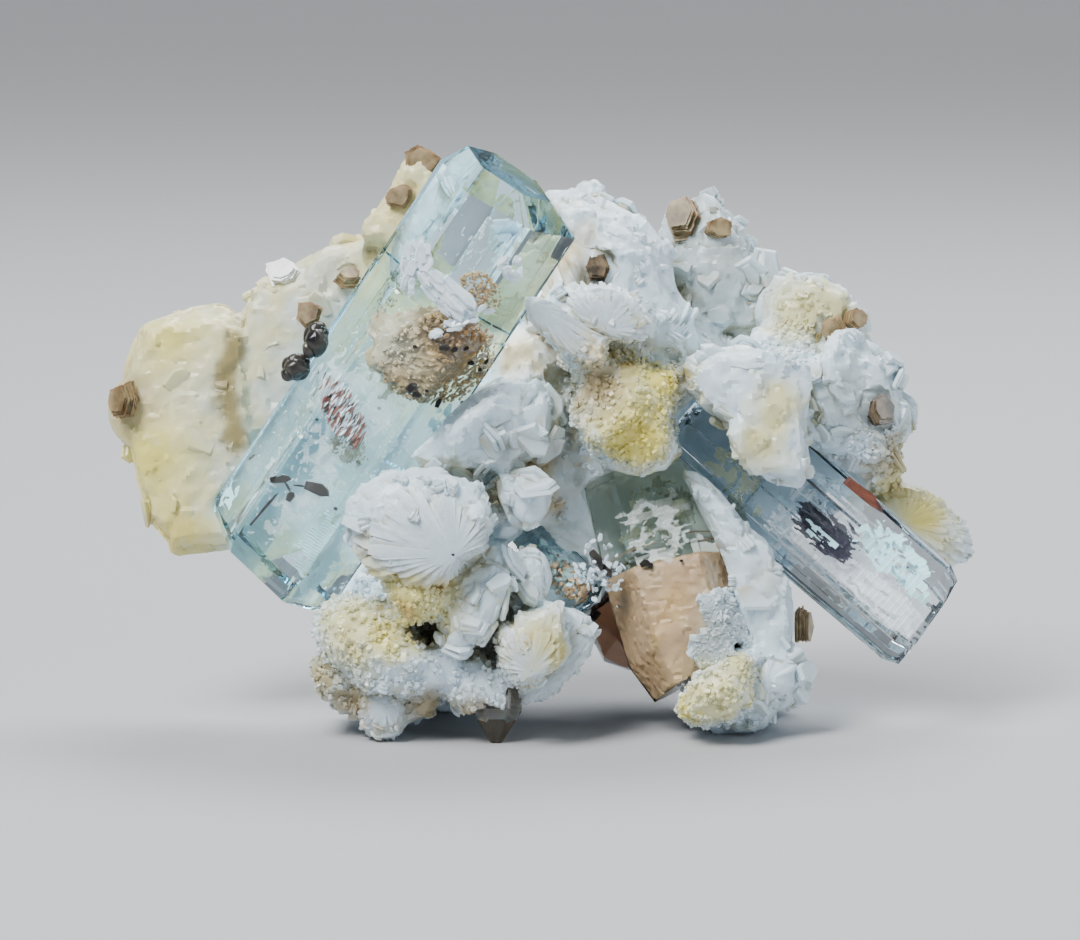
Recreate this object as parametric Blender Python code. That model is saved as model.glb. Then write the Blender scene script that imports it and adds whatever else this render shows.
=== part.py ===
"""Aquamarine crystals grown on albite, with a cream feldspar block, mica books and smoky quartz.

All sizes below are in millimetres. A place on the specimen is given on its display face, a plane that
leans back from the vertical, as (across, up, out): out points at the viewer. The finished solids stand
on the plane Z = 0, with the origin at the middle of the base of their bounding box.
"""

import math
import random
from functools import partial

import bmesh
import bpy
from mathutils import Matrix, Vector

MM = 0.001
DISPLAY_LEAN = math.radians(8.0)
GROUND_HEIGHT = 1.9  # the resting plane, above the display face's own zero
CLEARANCE = 0.3  # kept between a piece and the piece that it grows in
LARGE_RADIUS = 10.0  # corner radius of the largest aquamarine
RIGHT_RADIUS = 7.6
CENTRE_RADIUS = 8.4
SMALL_RADIUS = 4.6
TIP_RADIUS = 3.2
EDGE_BEVEL = 0.07  # the share of a crystal's side that its narrow edge faces take
ROUGHNESS = 0.35  # how far a nodule's surface points wander
ALBITE_FACETS_KEPT = 0.62  # the share of its facets that the fused albite keeps

ACROSS = Vector((1, 0, 0))
UP = Vector((0, math.sin(DISPLAY_LEAN), math.cos(DISPLAY_LEAN)))
OUT = Vector((0, -math.cos(DISPLAY_LEAN), math.sin(DISPLAY_LEAN)))

# How a nodule swells from its back, past its rim, to its front: (share of the outline, share of the depth).
DOME = ((0.6, -1.0), (1.0, 0.0), (0.74, 0.72))
BLOCK = ((0.8, -1.0), (1.0, 0.0), (0.86, 0.8))

# Each lobe of albite: outline on the display face, depth of its rim, swell to the front and to the back.
ALBITE_LOBES = {
    "top_rosette": (
        [(0, 68.8), (4.4, 68.9), (8.8, 67.1), (13.1, 65), (15.6, 61.9), (16.5, 57.5), (18.8, 53.8),
         (20, 49.4), (18.8, 46), (12.5, 45), (7.5, 46.9), (2.5, 50.6), (-1.3, 52.5), (-2.5, 57.5),
         (-1.3, 63.8)], 2, 11, 14, DOME),
    "right_block": (
        [(17.5, 47.2), (20.6, 48.8), (25, 49.4), (28.8, 47.5), (32.2, 45.2), (33.2, 42.5), (33, 37.5),
         (33.5, 33.8), (32.5, 31.4), (28.5, 32), (26, 33.8), (24.4, 36.5), (22.8, 39.4), (20, 41.5),
         (17.8, 43.8)], 9, 8, 16, BLOCK),
    "right_shoulder": (
        [(24.4, 49), (29.4, 51.2), (36.2, 49.4), (40.2, 50.4), (43.5, 48.6), (45, 44.4), (46.5, 41),
         (46, 37.5), (43.8, 36), (45.4, 34), (42, 32.5), (35, 34.4), (31.2, 37.5)], 0, 8, 13, DOME),
    "back_mound": (
        [(15, 62.8), (16, 65.6), (18.8, 68.1), (21.5, 68.8), (23.8, 66.2), (25.6, 63.5), (27.8, 59.8),
         (30.9, 58.5), (31.2, 56.2), (30.6, 52.5), (27.5, 49.4), (22.5, 48.1), (18.8, 50), (16.5, 55),
         (15.5, 59.4)], -11, 8, 9, DOME),
    "right_plates": (
        [(27.8, 56.2), (30.6, 58.1), (35.2, 58.3), (38.5, 56.5), (40.2, 53.5), (40.9, 50.6),
         (38.8, 48.5), (32.5, 47.5), (28.1, 49.4), (26.9, 53.1)], -4, 5, 8, BLOCK),
    "far_right_fan": (
        [(41, 32.2), (44.4, 32.8), (47.5, 32.1), (50.6, 30.4), (52.9, 27.6), (54.9, 24.4), (54.3, 22.5),
         (51.5, 21), (48.8, 20), (45, 22.5), (42, 26)], -4, 4.5, 5, DOME),
    "yellow_knob": (
        [(2.8, 49.4), (7.5, 49.4), (12.5, 48.5), (16.9, 47.2), (18, 44), (16.8, 40), (17.8, 36),
         (16, 33.2), (12.5, 32.3), (9, 33), (6.2, 35.6), (4.5, 38.5), (5, 42.5), (3.4, 45)],
        8, 9, 14, DOME),
    "upper_blade": (
        [(-2.2, 55), (0.6, 54.8), (5, 51.8), (8.5, 49.2), (8.2, 46.6), (5.6, 46.4), (2.5, 48.4),
         (-1.2, 51.2)], 16, 3, 6, BLOCK),
    "curved_blade": (
        [(0.6, 56), (4.4, 57.2), (8.8, 56.8), (12.5, 55.4), (14.6, 53.1), (14.3, 50), (10.6, 49.2),
         (6.2, 50.4), (2.5, 52.8)], 14, 3.5, 7, BLOCK),
    "centre_slabs": (
        [(-17.8, 34.8), (-15, 37.8), (-11.9, 41), (-8.8, 43.5), (-4.4, 45.9), (0, 45.6), (2.5, 42.8),
         (2, 37.5), (-0.6, 34.8), (-5, 33.3), (-11.2, 33), (-15, 33.6)], 7, 6, 15, BLOCK),
    "centre_wedge": (
        [(-5.5, 33), (-1.2, 34.2), (1.6, 32.5), (1.5, 29), (-1, 26), (-3.5, 26.8), (-5, 30)],
        10, 3, 10, DOME),
    "front_fan": (
        [(-24.2, 30.4), (-22.2, 32.5), (-17.8, 34), (-13.8, 34.7), (-11.2, 34.4), (-10.2, 33),
         (-7.5, 32.8), (-5.5, 30.2), (-5, 27.5), (-6, 24.4), (-8.8, 22.8), (-11, 19.4), (-14.4, 18.5),
         (-17.8, 19.4), (-21, 21.2), (-23.2, 23.5), (-24.2, 26.9)], 17, 6.5, 10, DOME),
    "front_fan_knob": (
        [(-19.5, 21.2), (-15, 22.2), (-11, 20.6), (-10.2, 17.5), (-12.5, 15.4), (-16, 14.6),
         (-17.9, 16.3), (-19, 18.5)], 16, 5.5, 7, DOME),
    "long_blade": (
        [(-6.5, 24.4), (-4, 24.4), (-3.2, 21.9), (-4.4, 17.8), (-6.9, 13.8), (-10.2, 11.3),
         (-12.8, 12), (-12.2, 16.2), (-10.2, 20.6)], 15, 5, 8, DOME),
    "short_blade": (
        [(-3.5, 23.5), (-1, 24.6), (1, 23), (1.6, 20), (0.6, 17.5), (-1.5, 16.8), (-3.4, 18.8)],
        11, 4, 8, DOME),
    "lower_left": (
        [(-28, 17), (-24.4, 18.8), (-19.8, 18.5), (-16, 14.8), (-11.9, 11.9), (-7.5, 11), (-6, 7.5),
         (-8.8, 5.8), (-12.2, 5.8), (-16.9, 5), (-22.2, 5.6), (-25, 8.6), (-27.4, 11.2), (-28.7, 13.8)],
        10, 8, 14, DOME),
    "left_foot": (
        [(-22.8, 6), (-20, 7.8), (-17.2, 6.6), (-16, 3.1), (-16.8, 0.9), (-18.8, 0.2), (-20.6, 0.4),
         (-22.4, 2.2)], 9.5, 4, 7, BLOCK),
    "left_corner": (
        [(-27.8, 11.2), (-25.6, 12.5), (-22.4, 10.6), (-21.6, 6.2), (-23.4, 3.1), (-25.5, 3.3),
         (-27.7, 6.2), (-28.7, 9.4)], 7, 5, 8, DOME),
    "beige_foot": (
        [(-17.4, 7), (-12.5, 7.5), (-11.9, 5), (-13.6, 3), (-15.8, 1.9), (-17.6, 2)], 8, 4, 7, DOME),
    "star_plate": (
        [(-5.9, 14.3), (-3.6, 15.8), (-2.9, 17.2), (-0.8, 16.6), (2, 18.5), (3.2, 18.1), (3.5, 14.3),
         (3, 10.1), (0.8, 8.6), (-0.9, 7.2), (-3.6, 7.2), (-5, 9.5)], 16, 3.2, 7, BLOCK),
    "side_blade": (
        [(3, 16.9), (4.8, 16.8), (7.8, 14.4), (7.7, 13.5), (6.7, 12.9), (6.6, 10.8), (3.6, 8.3),
         (2.7, 6.5), (0.6, 5.3), (-1.9, 4.6), (-2.8, 5.2), (-3.4, 8.5), (-1.5, 13)], 11, 3.4, 7, BLOCK),
    "lower_centre": (
        [(-11.9, 5.9), (-10.4, 4.3), (-8.6, 3.4), (-7.5, 4.8), (-6.4, 4.9), (-5, 3.7), (-4, 3.8),
         (-2.6, 5.2), (-3.8, 8.8), (-7.5, 12.2), (-11.2, 11.6), (-12.4, 8.1)], 12, 4.5, 8, DOME),
    "right_blade": (
        [(17.2, 33.8), (20, 33.4), (22.8, 30.6), (25.6, 27), (28.5, 24.6), (29.6, 21.5), (31.2, 19.8),
         (31.6, 11.9), (28.4, 10.4), (25.5, 12.5), (24, 17.5), (22.6, 22.5), (19.4, 29.4)],
        6, 5, 12, BLOCK),
    "right_foot": (
        [(26, 14.1), (31.6, 12.4), (33.2, 10.8), (33.1, 6.2), (31.3, 5), (29, 3.8), (27.2, 1.4),
         (24.8, 0.9), (22, 0.9), (20.2, 2), (21, 6.2), (23.4, 10)], 5.5, 7, 11, DOME),
    "granular_foot": (
        [(18.4, 9.0), (20.6, 10.6), (23.8, 12.4), (27.1, 11.2), (27.6, 5), (24.4, 2.6), (21.5, 1.9),
         (18.6, 1.9), (16.4, 3.8), (17.2, 6.8)], 10.5, 8, 10, DOME),
}

# The unseen mass that carries the lobes: centre and half-sizes, each as (across, up, out).
ALBITE_BULK = [
    ((-5, 32.5, -7), (14, 17, 14)),
    ((12.5, 38.8, -7), (16, 17, 15)),
    ((30, 39.5, -8), (15, 12, 13)),
    ((-14, 16, -4), (12.5, 12, 13)),
    ((0.5, 20, -3), (9, 9.5, 11)),
    ((0.2, 12, 6.5), (5.6, 5.2, 8)),
    ((24.2, 22.5, -6), (7, 15, 10)),
    ((4, 55, -8), (11.5, 12, 9)),
    ((-1.5, 47, 1), (6, 6, 7)),
    ((41, 34.5, -3), (5, 4.5, 7)),
    ((6, 68.2, -4), (2.8, 2.3, 3)),
    ((-13, 7.6, -13), (9.5, 6.5, 7)),
    ((25.2, 8, -9), (6.5, 7, 8)),
    ((-4, 40, -20), (10, 9, 6)),
    ((13, 47, -21), (11, 9, 5.5)),
    ((28, 41, -19), (9, 8, 6)),
    ((13, 31, -20), (9, 8, 6)),
    ((-12, 24, -17), (9, 9, 7)),
    ((25, 27, -15), (6, 8, 6)),
]

# Blades of albite seen edge-on or face-on: centre, radius, thickness, turn about up, pitch, in degrees.
ALBITE_BLADES = [
    ((9.5, 62.5, 9), 5.6, 2.2, 35, 40),
    ((14.6, 58.6, 6), 5.0, 2.2, 62, 18),
    ((38.5, 46.2, 6), 6.2, 2.6, 48, 16),
    ((30, 49.4, 3), 5.6, 2.2, 12, 58),
    ((34, 55.6, -5), 5.4, 2.2, 16, 44),
    ((24.8, 62, -12), 5.4, 2.4, 70, 20),
    ((29.5, 44.5, 14.5), 5.6, 2.4, 24, 10),
    ((28, 37, 14), 6.0, 2.6, 18, -12),
    ((8, 41.2, 15), 5.4, 2.4, -20, 14),
    ((-12, 27.8, 21.5), 7.4, 2.0, -8, 4),
    ((-6.5, 38.6, 12), 6.2, 2.4, 28, -30),
    ((-11, 34.2, -20), 7.0, 2.6, 162, 10),
    ((19, 39.5, -26), 8.0, 2.6, 196, -8),
    ((31.5, 45.5, -22), 6.6, 2.4, 205, 20),
    ((7.5, 52, -21.5), 6.8, 2.4, 172, 34),
    ((-16, 12, -19), 6.2, 2.4, 160, -18),
    ((22, 24, -20.5), 6.0, 2.4, 190, -16),
    ((37.8, 35, -15), 5.4, 2.4, 222, -10),
]

# The cream feldspar: outlines as above, and the bulk that joins them behind the large crystal.
FELDSPAR_LOBES = {
    "left_block": (
        [(-49.8, 52.2), (-46.9, 53.2), (-43.8, 54.3), (-39.4, 54.8), (-36.6, 52.5), (-35.5, 42.5),
         (-34.4, 33.8), (-35.5, 25), (-39, 23.7), (-43.8, 23.2), (-46.2, 22.8), (-46.8, 25),
         (-48.7, 26.9), (-50.2, 31.2), (-51.7, 37.8), (-53, 42.5), (-51.6, 48.8)], -3, 5, 10, BLOCK),
    "middle_block": (
        [(-37.6, 53.4), (-36.4, 55.6), (-35.4, 57.6), (-32.4, 58.6), (-30, 60), (-26.2, 62.2),
         (-21, 63), (-19, 56.2), (-21, 49), (-26, 41), (-32, 36.2), (-36.4, 37.5), (-37.2, 45)],
        -4, 5, 9, BLOCK),
    "upper_ridge": (
        [(-21.5, 62.5), (-21.5, 64.8), (-19.8, 67.4), (-18.2, 69.9), (-17, 72.9), (-14.4, 73.7),
         (-12.5, 72), (-10.4, 71.2), (-10.6, 67.5), (-13.8, 60.4), (-17, 56)], -1, 5, 8, DOME),
}
FELDSPAR_BULK = [
    ((-25, 43, -6), (13, 13, 6)),
    ((-17, 52, -5), (9, 13, 6)),
    ((-33, 38, -8), (11, 14, 6)),
    ((-50.6, 41, -4), (4, 5, 5)),
    ((-20.2, 63.8, 1), (2.6, 2.4, 2.6)),
]
FELDSPAR_BLADES = [
    ((-42, 38, -12), 9.5, 3.0, 176, 8),
    ((-45.8, 50.2, -6), 5.2, 2.4, -38, 30),
    ((-23.8, 60.4, -4), 4.2, 2.2, -22, 46),
]

# Mica books: centre, radius, thickness, turn about up, pitch, spin, in degrees, and number of sides.
MICA_BOOKS = {
    "mica_left_edge": ((-52.2, 42.4, 1.4), 2.9, 2.4, -40, 6, 10, 6),
    "mica_cream_middle": ((-28.8, 53.4, 3.0), 2.1, 1.6, -8, 10, 20, 6),
    "mica_cream_upper": ((-23.9, 57.9, 1.6), 2.0, 1.5, 10, 52, 4, 6),
    "mica_pearl": ((-32.3, 58.6, -1.6), 2.6, 1.8, -12, 30, 0, 9),
    "mica_gold_disc": ((-17.6, 67.8, 3.6), 2.1, 1.6, -10, 6, 0, 10),
    "mica_gold_crest": ((-14.6, 72.0, 0.6), 2.9, 1.8, 6, 16, 14, 8),
    "mica_top_right": ((18.0, 65.4, -7.0), 3.6, 4.2, -22, 18, 8, 6),
    "mica_top_right_small": ((22.2, 64.0, -5.4), 2.3, 3.0, 14, 14, 20, 6),
    "mica_right_bar": ((36.4, 51.2, 2.2), 2.2, 2.6, -20, 4, 8, 6),
    "mica_right_bar_end": ((39.6, 52.6, 0.2), 1.8, 2.2, 24, 8, 16, 6),
    "mica_dark_book": ((42.2, 41.2, 6.6), 2.5, 2.8, 22, 10, 12, 6),
    "mica_olive_lens": ((32.9, 14.2, 2.4), 2.9, 1.8, 78, 0, 0, 8),
    "mica_in_hollow": ((6.9, 58.6, 12.4), 2.4, 1.4, 8, 24, 0, 6),
    "mica_back": ((15.5, 54.5, -22.6), 3.4, 2.6, 186, 26, 12, 6),
    "mica_back_low": ((-6.5, 12.8, -18.4), 2.6, 2.2, 168, -8, 0, 6),
}

# Dark tourmaline clumps that cling to the left edge of the large crystal: centre and half-sizes.
TOURMALINE_CLUMPS = {
    "tourmaline_upper": ((-27.6, 49.6, 8.2), (2.1, 2.5, 2.2)),
    "tourmaline_lower": ((-30.2, 46.3, 7.6), (2.2, 1.9, 2.1)),
}

COLOURS = {
    "albite": ((0.80, 0.85, 0.86, 1), 0.55),
    "feldspar": ((0.84, 0.80, 0.60, 1), 0.5),
    "aquamarine": ((0.60, 0.76, 0.78, 1), 0.1),
    "clouded": ((0.62, 0.52, 0.38, 1), 0.25),
    "smoky": ((0.20, 0.13, 0.06, 1), 0.15),
    "mica": ((0.52, 0.42, 0.22, 1), 0.3),
    "pearl": ((0.85, 0.86, 0.84, 1), 0.25),
    "dark_mica": ((0.16, 0.13, 0.09, 1), 0.3),
    "tourmaline": ((0.05, 0.05, 0.05, 1), 0.35),
    "tan_quartz": ((0.50, 0.41, 0.31, 1), 0.3),
}


def clear_scene():
    for obj in list(bpy.data.objects):
        bpy.data.objects.remove(obj, do_unlink=True)


def on_display(across, up, out):
    """A place on the display face as a point in metres."""
    return (ACROSS * across + UP * up + OUT * out) * MM


def facing(turn, pitch, spin=0.0):
    """Axes (side, top, front) of a plate turned about up, then pitched back, in the display face's terms."""
    turned = Matrix.Rotation(math.radians(turn), 3, UP)
    side = turned @ ACROSS
    pitched = Matrix.Rotation(-math.radians(pitch), 3, side)
    front = pitched @ turned @ OUT
    spun = Matrix.Rotation(math.radians(spin), 3, front)
    return spun @ side, spun @ pitched @ turned @ UP, front


def to_object(name, bm):
    """The bmesh as a closed, triangulated object with its faces pointing out."""
    bmesh.ops.triangulate(bm, faces=bm.faces)
    bmesh.ops.recalc_face_normals(bm, faces=bm.faces)
    mesh = bpy.data.meshes.new(name)
    bm.to_mesh(mesh)
    bm.free()
    obj = bpy.data.objects.new(name, mesh)
    bpy.context.scene.collection.objects.link(obj)
    return obj


def loft(name, rings, high_tip=None):
    """A closed solid through rings of equally many points, with flat ends or, given a tip, a cone on top."""
    bm = bmesh.new()
    loops = [[bm.verts.new(point) for point in ring] for ring in rings]
    count = len(loops[0])
    for below, above in zip(loops, loops[1:]):
        for i in range(count):
            j = (i + 1) % count
            bm.faces.new((below[i], below[j], above[j], above[i]))
    bm.faces.new(loops[0])
    if high_tip is None:
        bm.faces.new(loops[-1])
    else:
        peak = bm.verts.new(high_tip)
        for i in range(count):
            bm.faces.new((loops[-1][i], loops[-1][(i + 1) % count], peak))
    return to_object(name, bm)


def nodule(name, outline, rim, front, back, profile, grow=0.0, seed=1):
    """A lobe that swells from an outline on the display face towards the front and the back."""
    chance = random.Random(seed)
    middle = Vector((sum(p[0] for p in outline), sum(p[1] for p in outline))) / len(outline)
    rings = []
    for share, height in profile:
        swell = (front if height > 0 else back) + grow
        loose = ROUGHNESS if height else 0.0
        ring = []
        for point in outline:
            offset = Vector(point) - middle
            offset *= share * (1 + grow / offset.length)
            place = middle + offset
            spot = (place.x, place.y, rim + height * swell)
            ring.append(on_display(*(value + chance.uniform(-loose, loose) for value in spot)))
        rings.append(ring)
    return loft(name, rings, high_tip=on_display(middle.x, middle.y, rim + front + grow))


def boulder(name, centre, half, grow=0.0, seed=1, knobbly=0.07):
    """A lump with many flat facets."""
    chance = random.Random(seed)
    bm = bmesh.new()
    bmesh.ops.create_icosphere(bm, subdivisions=2, radius=1.0)
    for vert in bm.verts:
        reach = 1 + chance.uniform(-knobbly, knobbly)
        size = [h + grow for h in half]
        vert.co = on_display(*(c + x * s * reach for c, x, s in zip(centre, vert.co, size)))
    return to_object(name, bm)


def blade(name, centre, radius, thickness, turn, pitch, grow=0.0, seed=1, points=9):
    """A flat blade of albite with a toothed rim, a little smaller in front than behind."""
    chance = random.Random(seed)
    side, top, front = facing(turn, pitch, seed * 17)
    middle = on_display(*centre)
    teeth = [1 - 0.13 * (i % 2) + chance.uniform(-0.08, 0.08) for i in range(points)]
    rings = []
    for share, height in ((1.0, -0.5), (0.88, 0.5)):
        ring = []
        for i, tooth in enumerate(teeth):
            angle = 2 * math.pi * i / points
            reach = radius * tooth * share + grow
            flat = side * math.cos(angle) + top * math.sin(angle) * 0.85
            ring.append(middle + (flat * reach + front * height * (thickness + 2 * grow)) * MM)
        rings.append(ring)
    return loft(name, rings)


def book(name, centre, radius, thickness, turn, pitch, spin, sides, grow=0.0, seed=1):
    """A stack of mica sheets, each a little smaller or shifted than the one below."""
    chance = random.Random(seed)
    side, top, front = facing(turn, pitch, spin)
    middle = on_display(*centre)
    sheets = [(-0.5, 1.0), (-0.1, 1.0), (-0.1, 0.93), (0.2, 0.95), (0.2, 0.84), (0.5, 0.82)]
    reach = [1 + chance.uniform(-0.1, 0.1) for _ in range(sides)]
    slide = [0.0, 0.0, *(chance.uniform(-0.04, 0.04) for _ in range(4))]
    if grow:
        sheets, slide = [(-0.5, 1.04), (0.5, 1.04)], [0.0, 0.0]
    rings = []
    for (height, share), moved in zip(sheets, slide):
        rise = height * (thickness + 2 * grow)
        ring = []
        for i, far in enumerate(reach):
            angle = 2 * math.pi * i / sides
            out = radius * share * far + grow
            across = math.cos(angle) * out + moved * radius
            ring.append(middle + (side * across + top * math.sin(angle) * out + front * rise) * MM)
        rings.append(ring)
    return loft(name, rings)


def hexagon(radius, bevel=EDGE_BEVEL):
    """Twelve corners of a hexagon whose six edges carry narrow bevel faces, as (side, front) pairs."""
    corners = [Vector((math.cos(math.radians(60 * k)), math.sin(math.radians(60 * k)))) for k in range(6)]
    section = []
    for k, corner in enumerate(corners):
        section.append(corner.lerp(corners[k - 1], bevel) * radius)
        section.append(corner.lerp(corners[(k + 1) % 6], bevel) * radius)
    return section


def crystal(name, foot, head, radius, rings, grow=0.0):
    """A hexagonal crystal from foot to head with one broad face to the viewer.

    Each ring is (distance from the foot, share of the section, slope to the side, slope to the front,
    shift to the side). The side is the one to the left of a viewer, when the foot is below.
    """
    start, end = on_display(*foot), on_display(*head)
    axis = (end - start).normalized()
    front = (OUT - axis * OUT.dot(axis)).normalized()
    side = front.cross(axis)
    section = hexagon(radius + grow)
    made = []
    for index, (distance, share, side_slope, front_slope, slide) in enumerate(rings):
        spare = grow * ((index == len(rings) - 1) - (index == 0))
        ring = []
        for corner in section:
            along = distance + spare + side_slope * corner.x + front_slope * corner.y
            flat = side * (corner.x * share + slide) + front * corner.y * share
            ring.append(start + (axis * along + flat) * MM)
        made.append(ring)
    return loft(name, made)


def add_boolean(obj, other, operation):
    modifier = obj.modifiers.new(operation.title(), "BOOLEAN")
    modifier.operation = operation
    modifier.solver = "EXACT"
    modifier.object = other


def largest_body(mesh):
    """Removes the crumbs that a cut leaves beside the main body."""
    bm = bmesh.new()
    bm.from_mesh(mesh)
    unseen, bodies = set(bm.verts), []
    while unseen:
        body, edge_of_search = set(), [unseen.pop()]
        while edge_of_search:
            vert = edge_of_search.pop()
            body.add(vert)
            for edge in vert.link_edges:
                other = edge.other_vert(vert)
                if other in unseen:
                    unseen.discard(other)
                    edge_of_search.append(other)
        bodies.append(body)
    keep = max(bodies, key=len)
    bmesh.ops.delete(bm, geom=[v for v in bm.verts if v not in keep], context="VERTS")
    bm.to_mesh(mesh)
    bm.free()


def apply_modifiers(obj):
    """Replaces the object's mesh by the evaluated one."""
    graph = bpy.context.evaluated_depsgraph_get()
    mesh = bpy.data.meshes.new_from_object(obj.evaluated_get(graph))
    obj.modifiers.clear()
    obj.data = mesh


def fuse(name, pieces, keep_share):
    """One solid out of overlapping pieces, with only a share of the facets that the seams made."""
    whole = pieces[0]
    whole.name = name
    for piece in pieces[1:]:
        add_boolean(whole, piece, "UNION")
        apply_modifiers(whole)
        bpy.data.objects.remove(piece, do_unlink=True)
    if keep_share < 1:
        thinner = whole.modifiers.new("Thin", "DECIMATE")
        thinner.ratio = keep_share
        apply_modifiers(whole)
    return whole


def cut(obj, cutters):
    for cutter in cutters:
        add_boolean(obj, cutter, "DIFFERENCE")
        apply_modifiers(obj)
    largest_body(obj.data)


def overlaps(first, second):
    """Whether two objects' bounding boxes meet."""
    boxes = []
    for obj in (first, second):
        corners = [vert.co for vert in obj.data.vertices]
        boxes.append([(min(c[i] for c in corners), max(c[i] for c in corners)) for i in range(3)])
    return all(a[0] < b[1] and b[0] < a[1] for a, b in zip(*boxes))


def finish(obj, kind):
    colour, roughness = COLOURS[kind]
    material = bpy.data.materials.get(kind) or bpy.data.materials.new(kind)
    material.use_nodes = True
    shader = material.node_tree.nodes["Principled BSDF"]
    shader.inputs["Base Color"].default_value = colour
    shader.inputs["Roughness"].default_value = roughness
    shader.inputs["Metallic"].default_value = 0.0
    obj.data.materials.clear()
    obj.data.materials.append(material)


def large_crystal(grow=0.0):
    rings = [(-1.0, 0.92, 0.16, 0, 0), (0.2, 1.0, 0.16, 0, 0), (17, 1.0, 0, 0, 0), (17.4, 0.985, 0, 0, 0),
             (39, 0.985, 0, 0, 0), (39.3, 0.97, 0, 0, 0), (54.6, 0.97, -0.06, 0, 0), (57.3, 0.62, 0, 0, 1.6)]
    return crystal("aquamarine_large", (-33.4, 23.1, 1), (-3.5, 67.5, 15), LARGE_RADIUS, rings, grow)


def right_crystal(grow=0.0):
    rings = [(0, 1.0, 0, 0, 0), (12, 1.04, 0, 0, 0), (12.3, 1.0, 0, 0, 0), (26, 0.98, 0, 0, 0),
             (37.4, 0.96, -0.09, 0.04, 0), (39.3, 0.84, -0.09, 0.1, 0)]
    return crystal("aquamarine_right", (18.9, 40.6, 0), (48.1, 14.9, 5), RIGHT_RADIUS, rings, grow)


def centre_crystal(grow=0.0):
    rings = [(0, 0.86, 0, 0, 0), (10, 0.95, 0, 0, 0), (10.3, 0.98, 0, 0, 0), (21.5, 1.0, -0.2, 0.05, 0),
             (26.4, 0.78, -0.22, 0.05, 0)]
    return crystal("aquamarine_centre", (12.2, 33.4, 2.5), (20.4, 6.3, 7.5), CENTRE_RADIUS, rings, grow)


def small_crystal(grow=0.0):
    rings = [(0, 0.9, 0, 0, 0), (9, 1.0, 0, 0, 0), (11.2, 0.9, 0, 0.1, 0)]
    return crystal("aquamarine_small", (-2.2, 24.4, 2), (6.0, 15.6, 6.6), SMALL_RADIUS, rings, grow)


def smoky_quartz(grow=0.0):
    outline = [(5.4, 16), (8.8, 18.6), (11.4, 16), (12.6, 12), (12.8, 8.6), (10.8, 8.8), (8, 9.8),
               (6.6, 12.4)]
    return nodule("smoky_quartz", outline, 0, 4.0, 6, BLOCK, grow, seed=41)


def quartz_tip(grow=0.0):
    rings = [(0, 1.0, 0, 0, 0), (5.6, 0.98, 0, 0, 0), (9.6, 0.2, 0, 0, 0)]
    return crystal("quartz_tip", (-5.2, 9.6, 10.5), (-5.4, -0.2, 12.0), TIP_RADIUS, rings, grow)


def mica(name, grow=0.0):
    return book(name, *MICA_BOOKS[name], grow=grow, seed=len(name) * 7)


def tourmaline(name, grow=0.0):
    centre, half = TOURMALINE_CLUMPS[name]
    return boulder(name, centre, half, grow, seed=len(name), knobbly=0.16)


def rock(name, lobes, bulk, blades, keep_share=1.0, grow=0.0):
    """The fused mass of lobes, bulk and blades."""
    pieces = [boulder(name, c, h, grow, seed=50 + i) for i, (c, h) in enumerate(bulk)]
    pieces += [nodule("lobe", *shape, grow=grow, seed=i) for i, shape in enumerate(lobes.values())]
    pieces += [blade("blade", *shape, grow=grow, seed=i + 3) for i, shape in enumerate(blades)]
    return fuse(name, pieces, keep_share)


def ground_cutter():
    """A slab whose top is the resting plane."""
    bm = bmesh.new()
    bmesh.ops.create_cube(bm, size=1.0)
    top, depth, reach = GROUND_HEIGHT, 20.0, 300.0
    for vert in bm.verts:
        vert.co = Vector((vert.co.x * reach, vert.co.y * reach, top - depth / 2 + vert.co.z * depth)) * MM
    return to_object("ground", bm)


def set_on_origin(nodes):
    """Moves every solid alike, so that their box stands on Z = 0 around the origin."""
    corners = [vert.co for obj in nodes for vert in obj.data.vertices]
    low = Vector([min(c[i] for c in corners) for i in range(3)])
    high = Vector([max(c[i] for c in corners) for i in range(3)])
    shift = Matrix.Translation((-(low.x + high.x) / 2, -(low.y + high.y) / 2, -low.z))
    for obj in nodes:
        obj.data.transform(shift)


def pieces_by_age():
    """Each node's maker and material, oldest first: a piece gives way to all that stand before it."""
    pieces = {
        "aquamarine_large": (large_crystal, "aquamarine"),
        "aquamarine_right": (right_crystal, "aquamarine"),
        "aquamarine_centre": (centre_crystal, "clouded"),
        "aquamarine_small": (small_crystal, "aquamarine"),
        "smoky_quartz": (smoky_quartz, "smoky"),
        "quartz_tip": (quartz_tip, "tan_quartz"),
    }
    for name in TOURMALINE_CLUMPS:
        pieces[name] = (partial(tourmaline, name), "tourmaline")
    kinds = {"mica_pearl": "pearl", "mica_dark_book": "dark_mica", "mica_in_hollow": "dark_mica"}
    for name in MICA_BOOKS:
        pieces[name] = (partial(mica, name), kinds.get(name, "mica"))
    feldspar = partial(rock, "cream_feldspar", FELDSPAR_LOBES, FELDSPAR_BULK, FELDSPAR_BLADES)
    pieces["cream_feldspar"] = (feldspar, "feldspar")
    albite = partial(rock, "albite", ALBITE_LOBES, ALBITE_BULK, ALBITE_BLADES, ALBITE_FACETS_KEPT)
    pieces["albite"] = (albite, "albite")
    return pieces


def main():
    clear_scene()
    ground = ground_cutter()
    nodes, rooms = {}, []
    for name, (maker, kind) in pieces_by_age().items():
        node = maker()
        cut(node, [room for room in (*rooms, ground) if overlaps(node, room)])
        finish(node, kind)
        nodes[name] = node
        if name != "albite":
            rooms.append(maker(grow=CLEARANCE))
    for helper in (*rooms, ground):
        bpy.data.objects.remove(helper, do_unlink=True)
    for name, node in nodes.items():
        node.name = name
    set_on_origin(nodes.values())


main()
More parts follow.
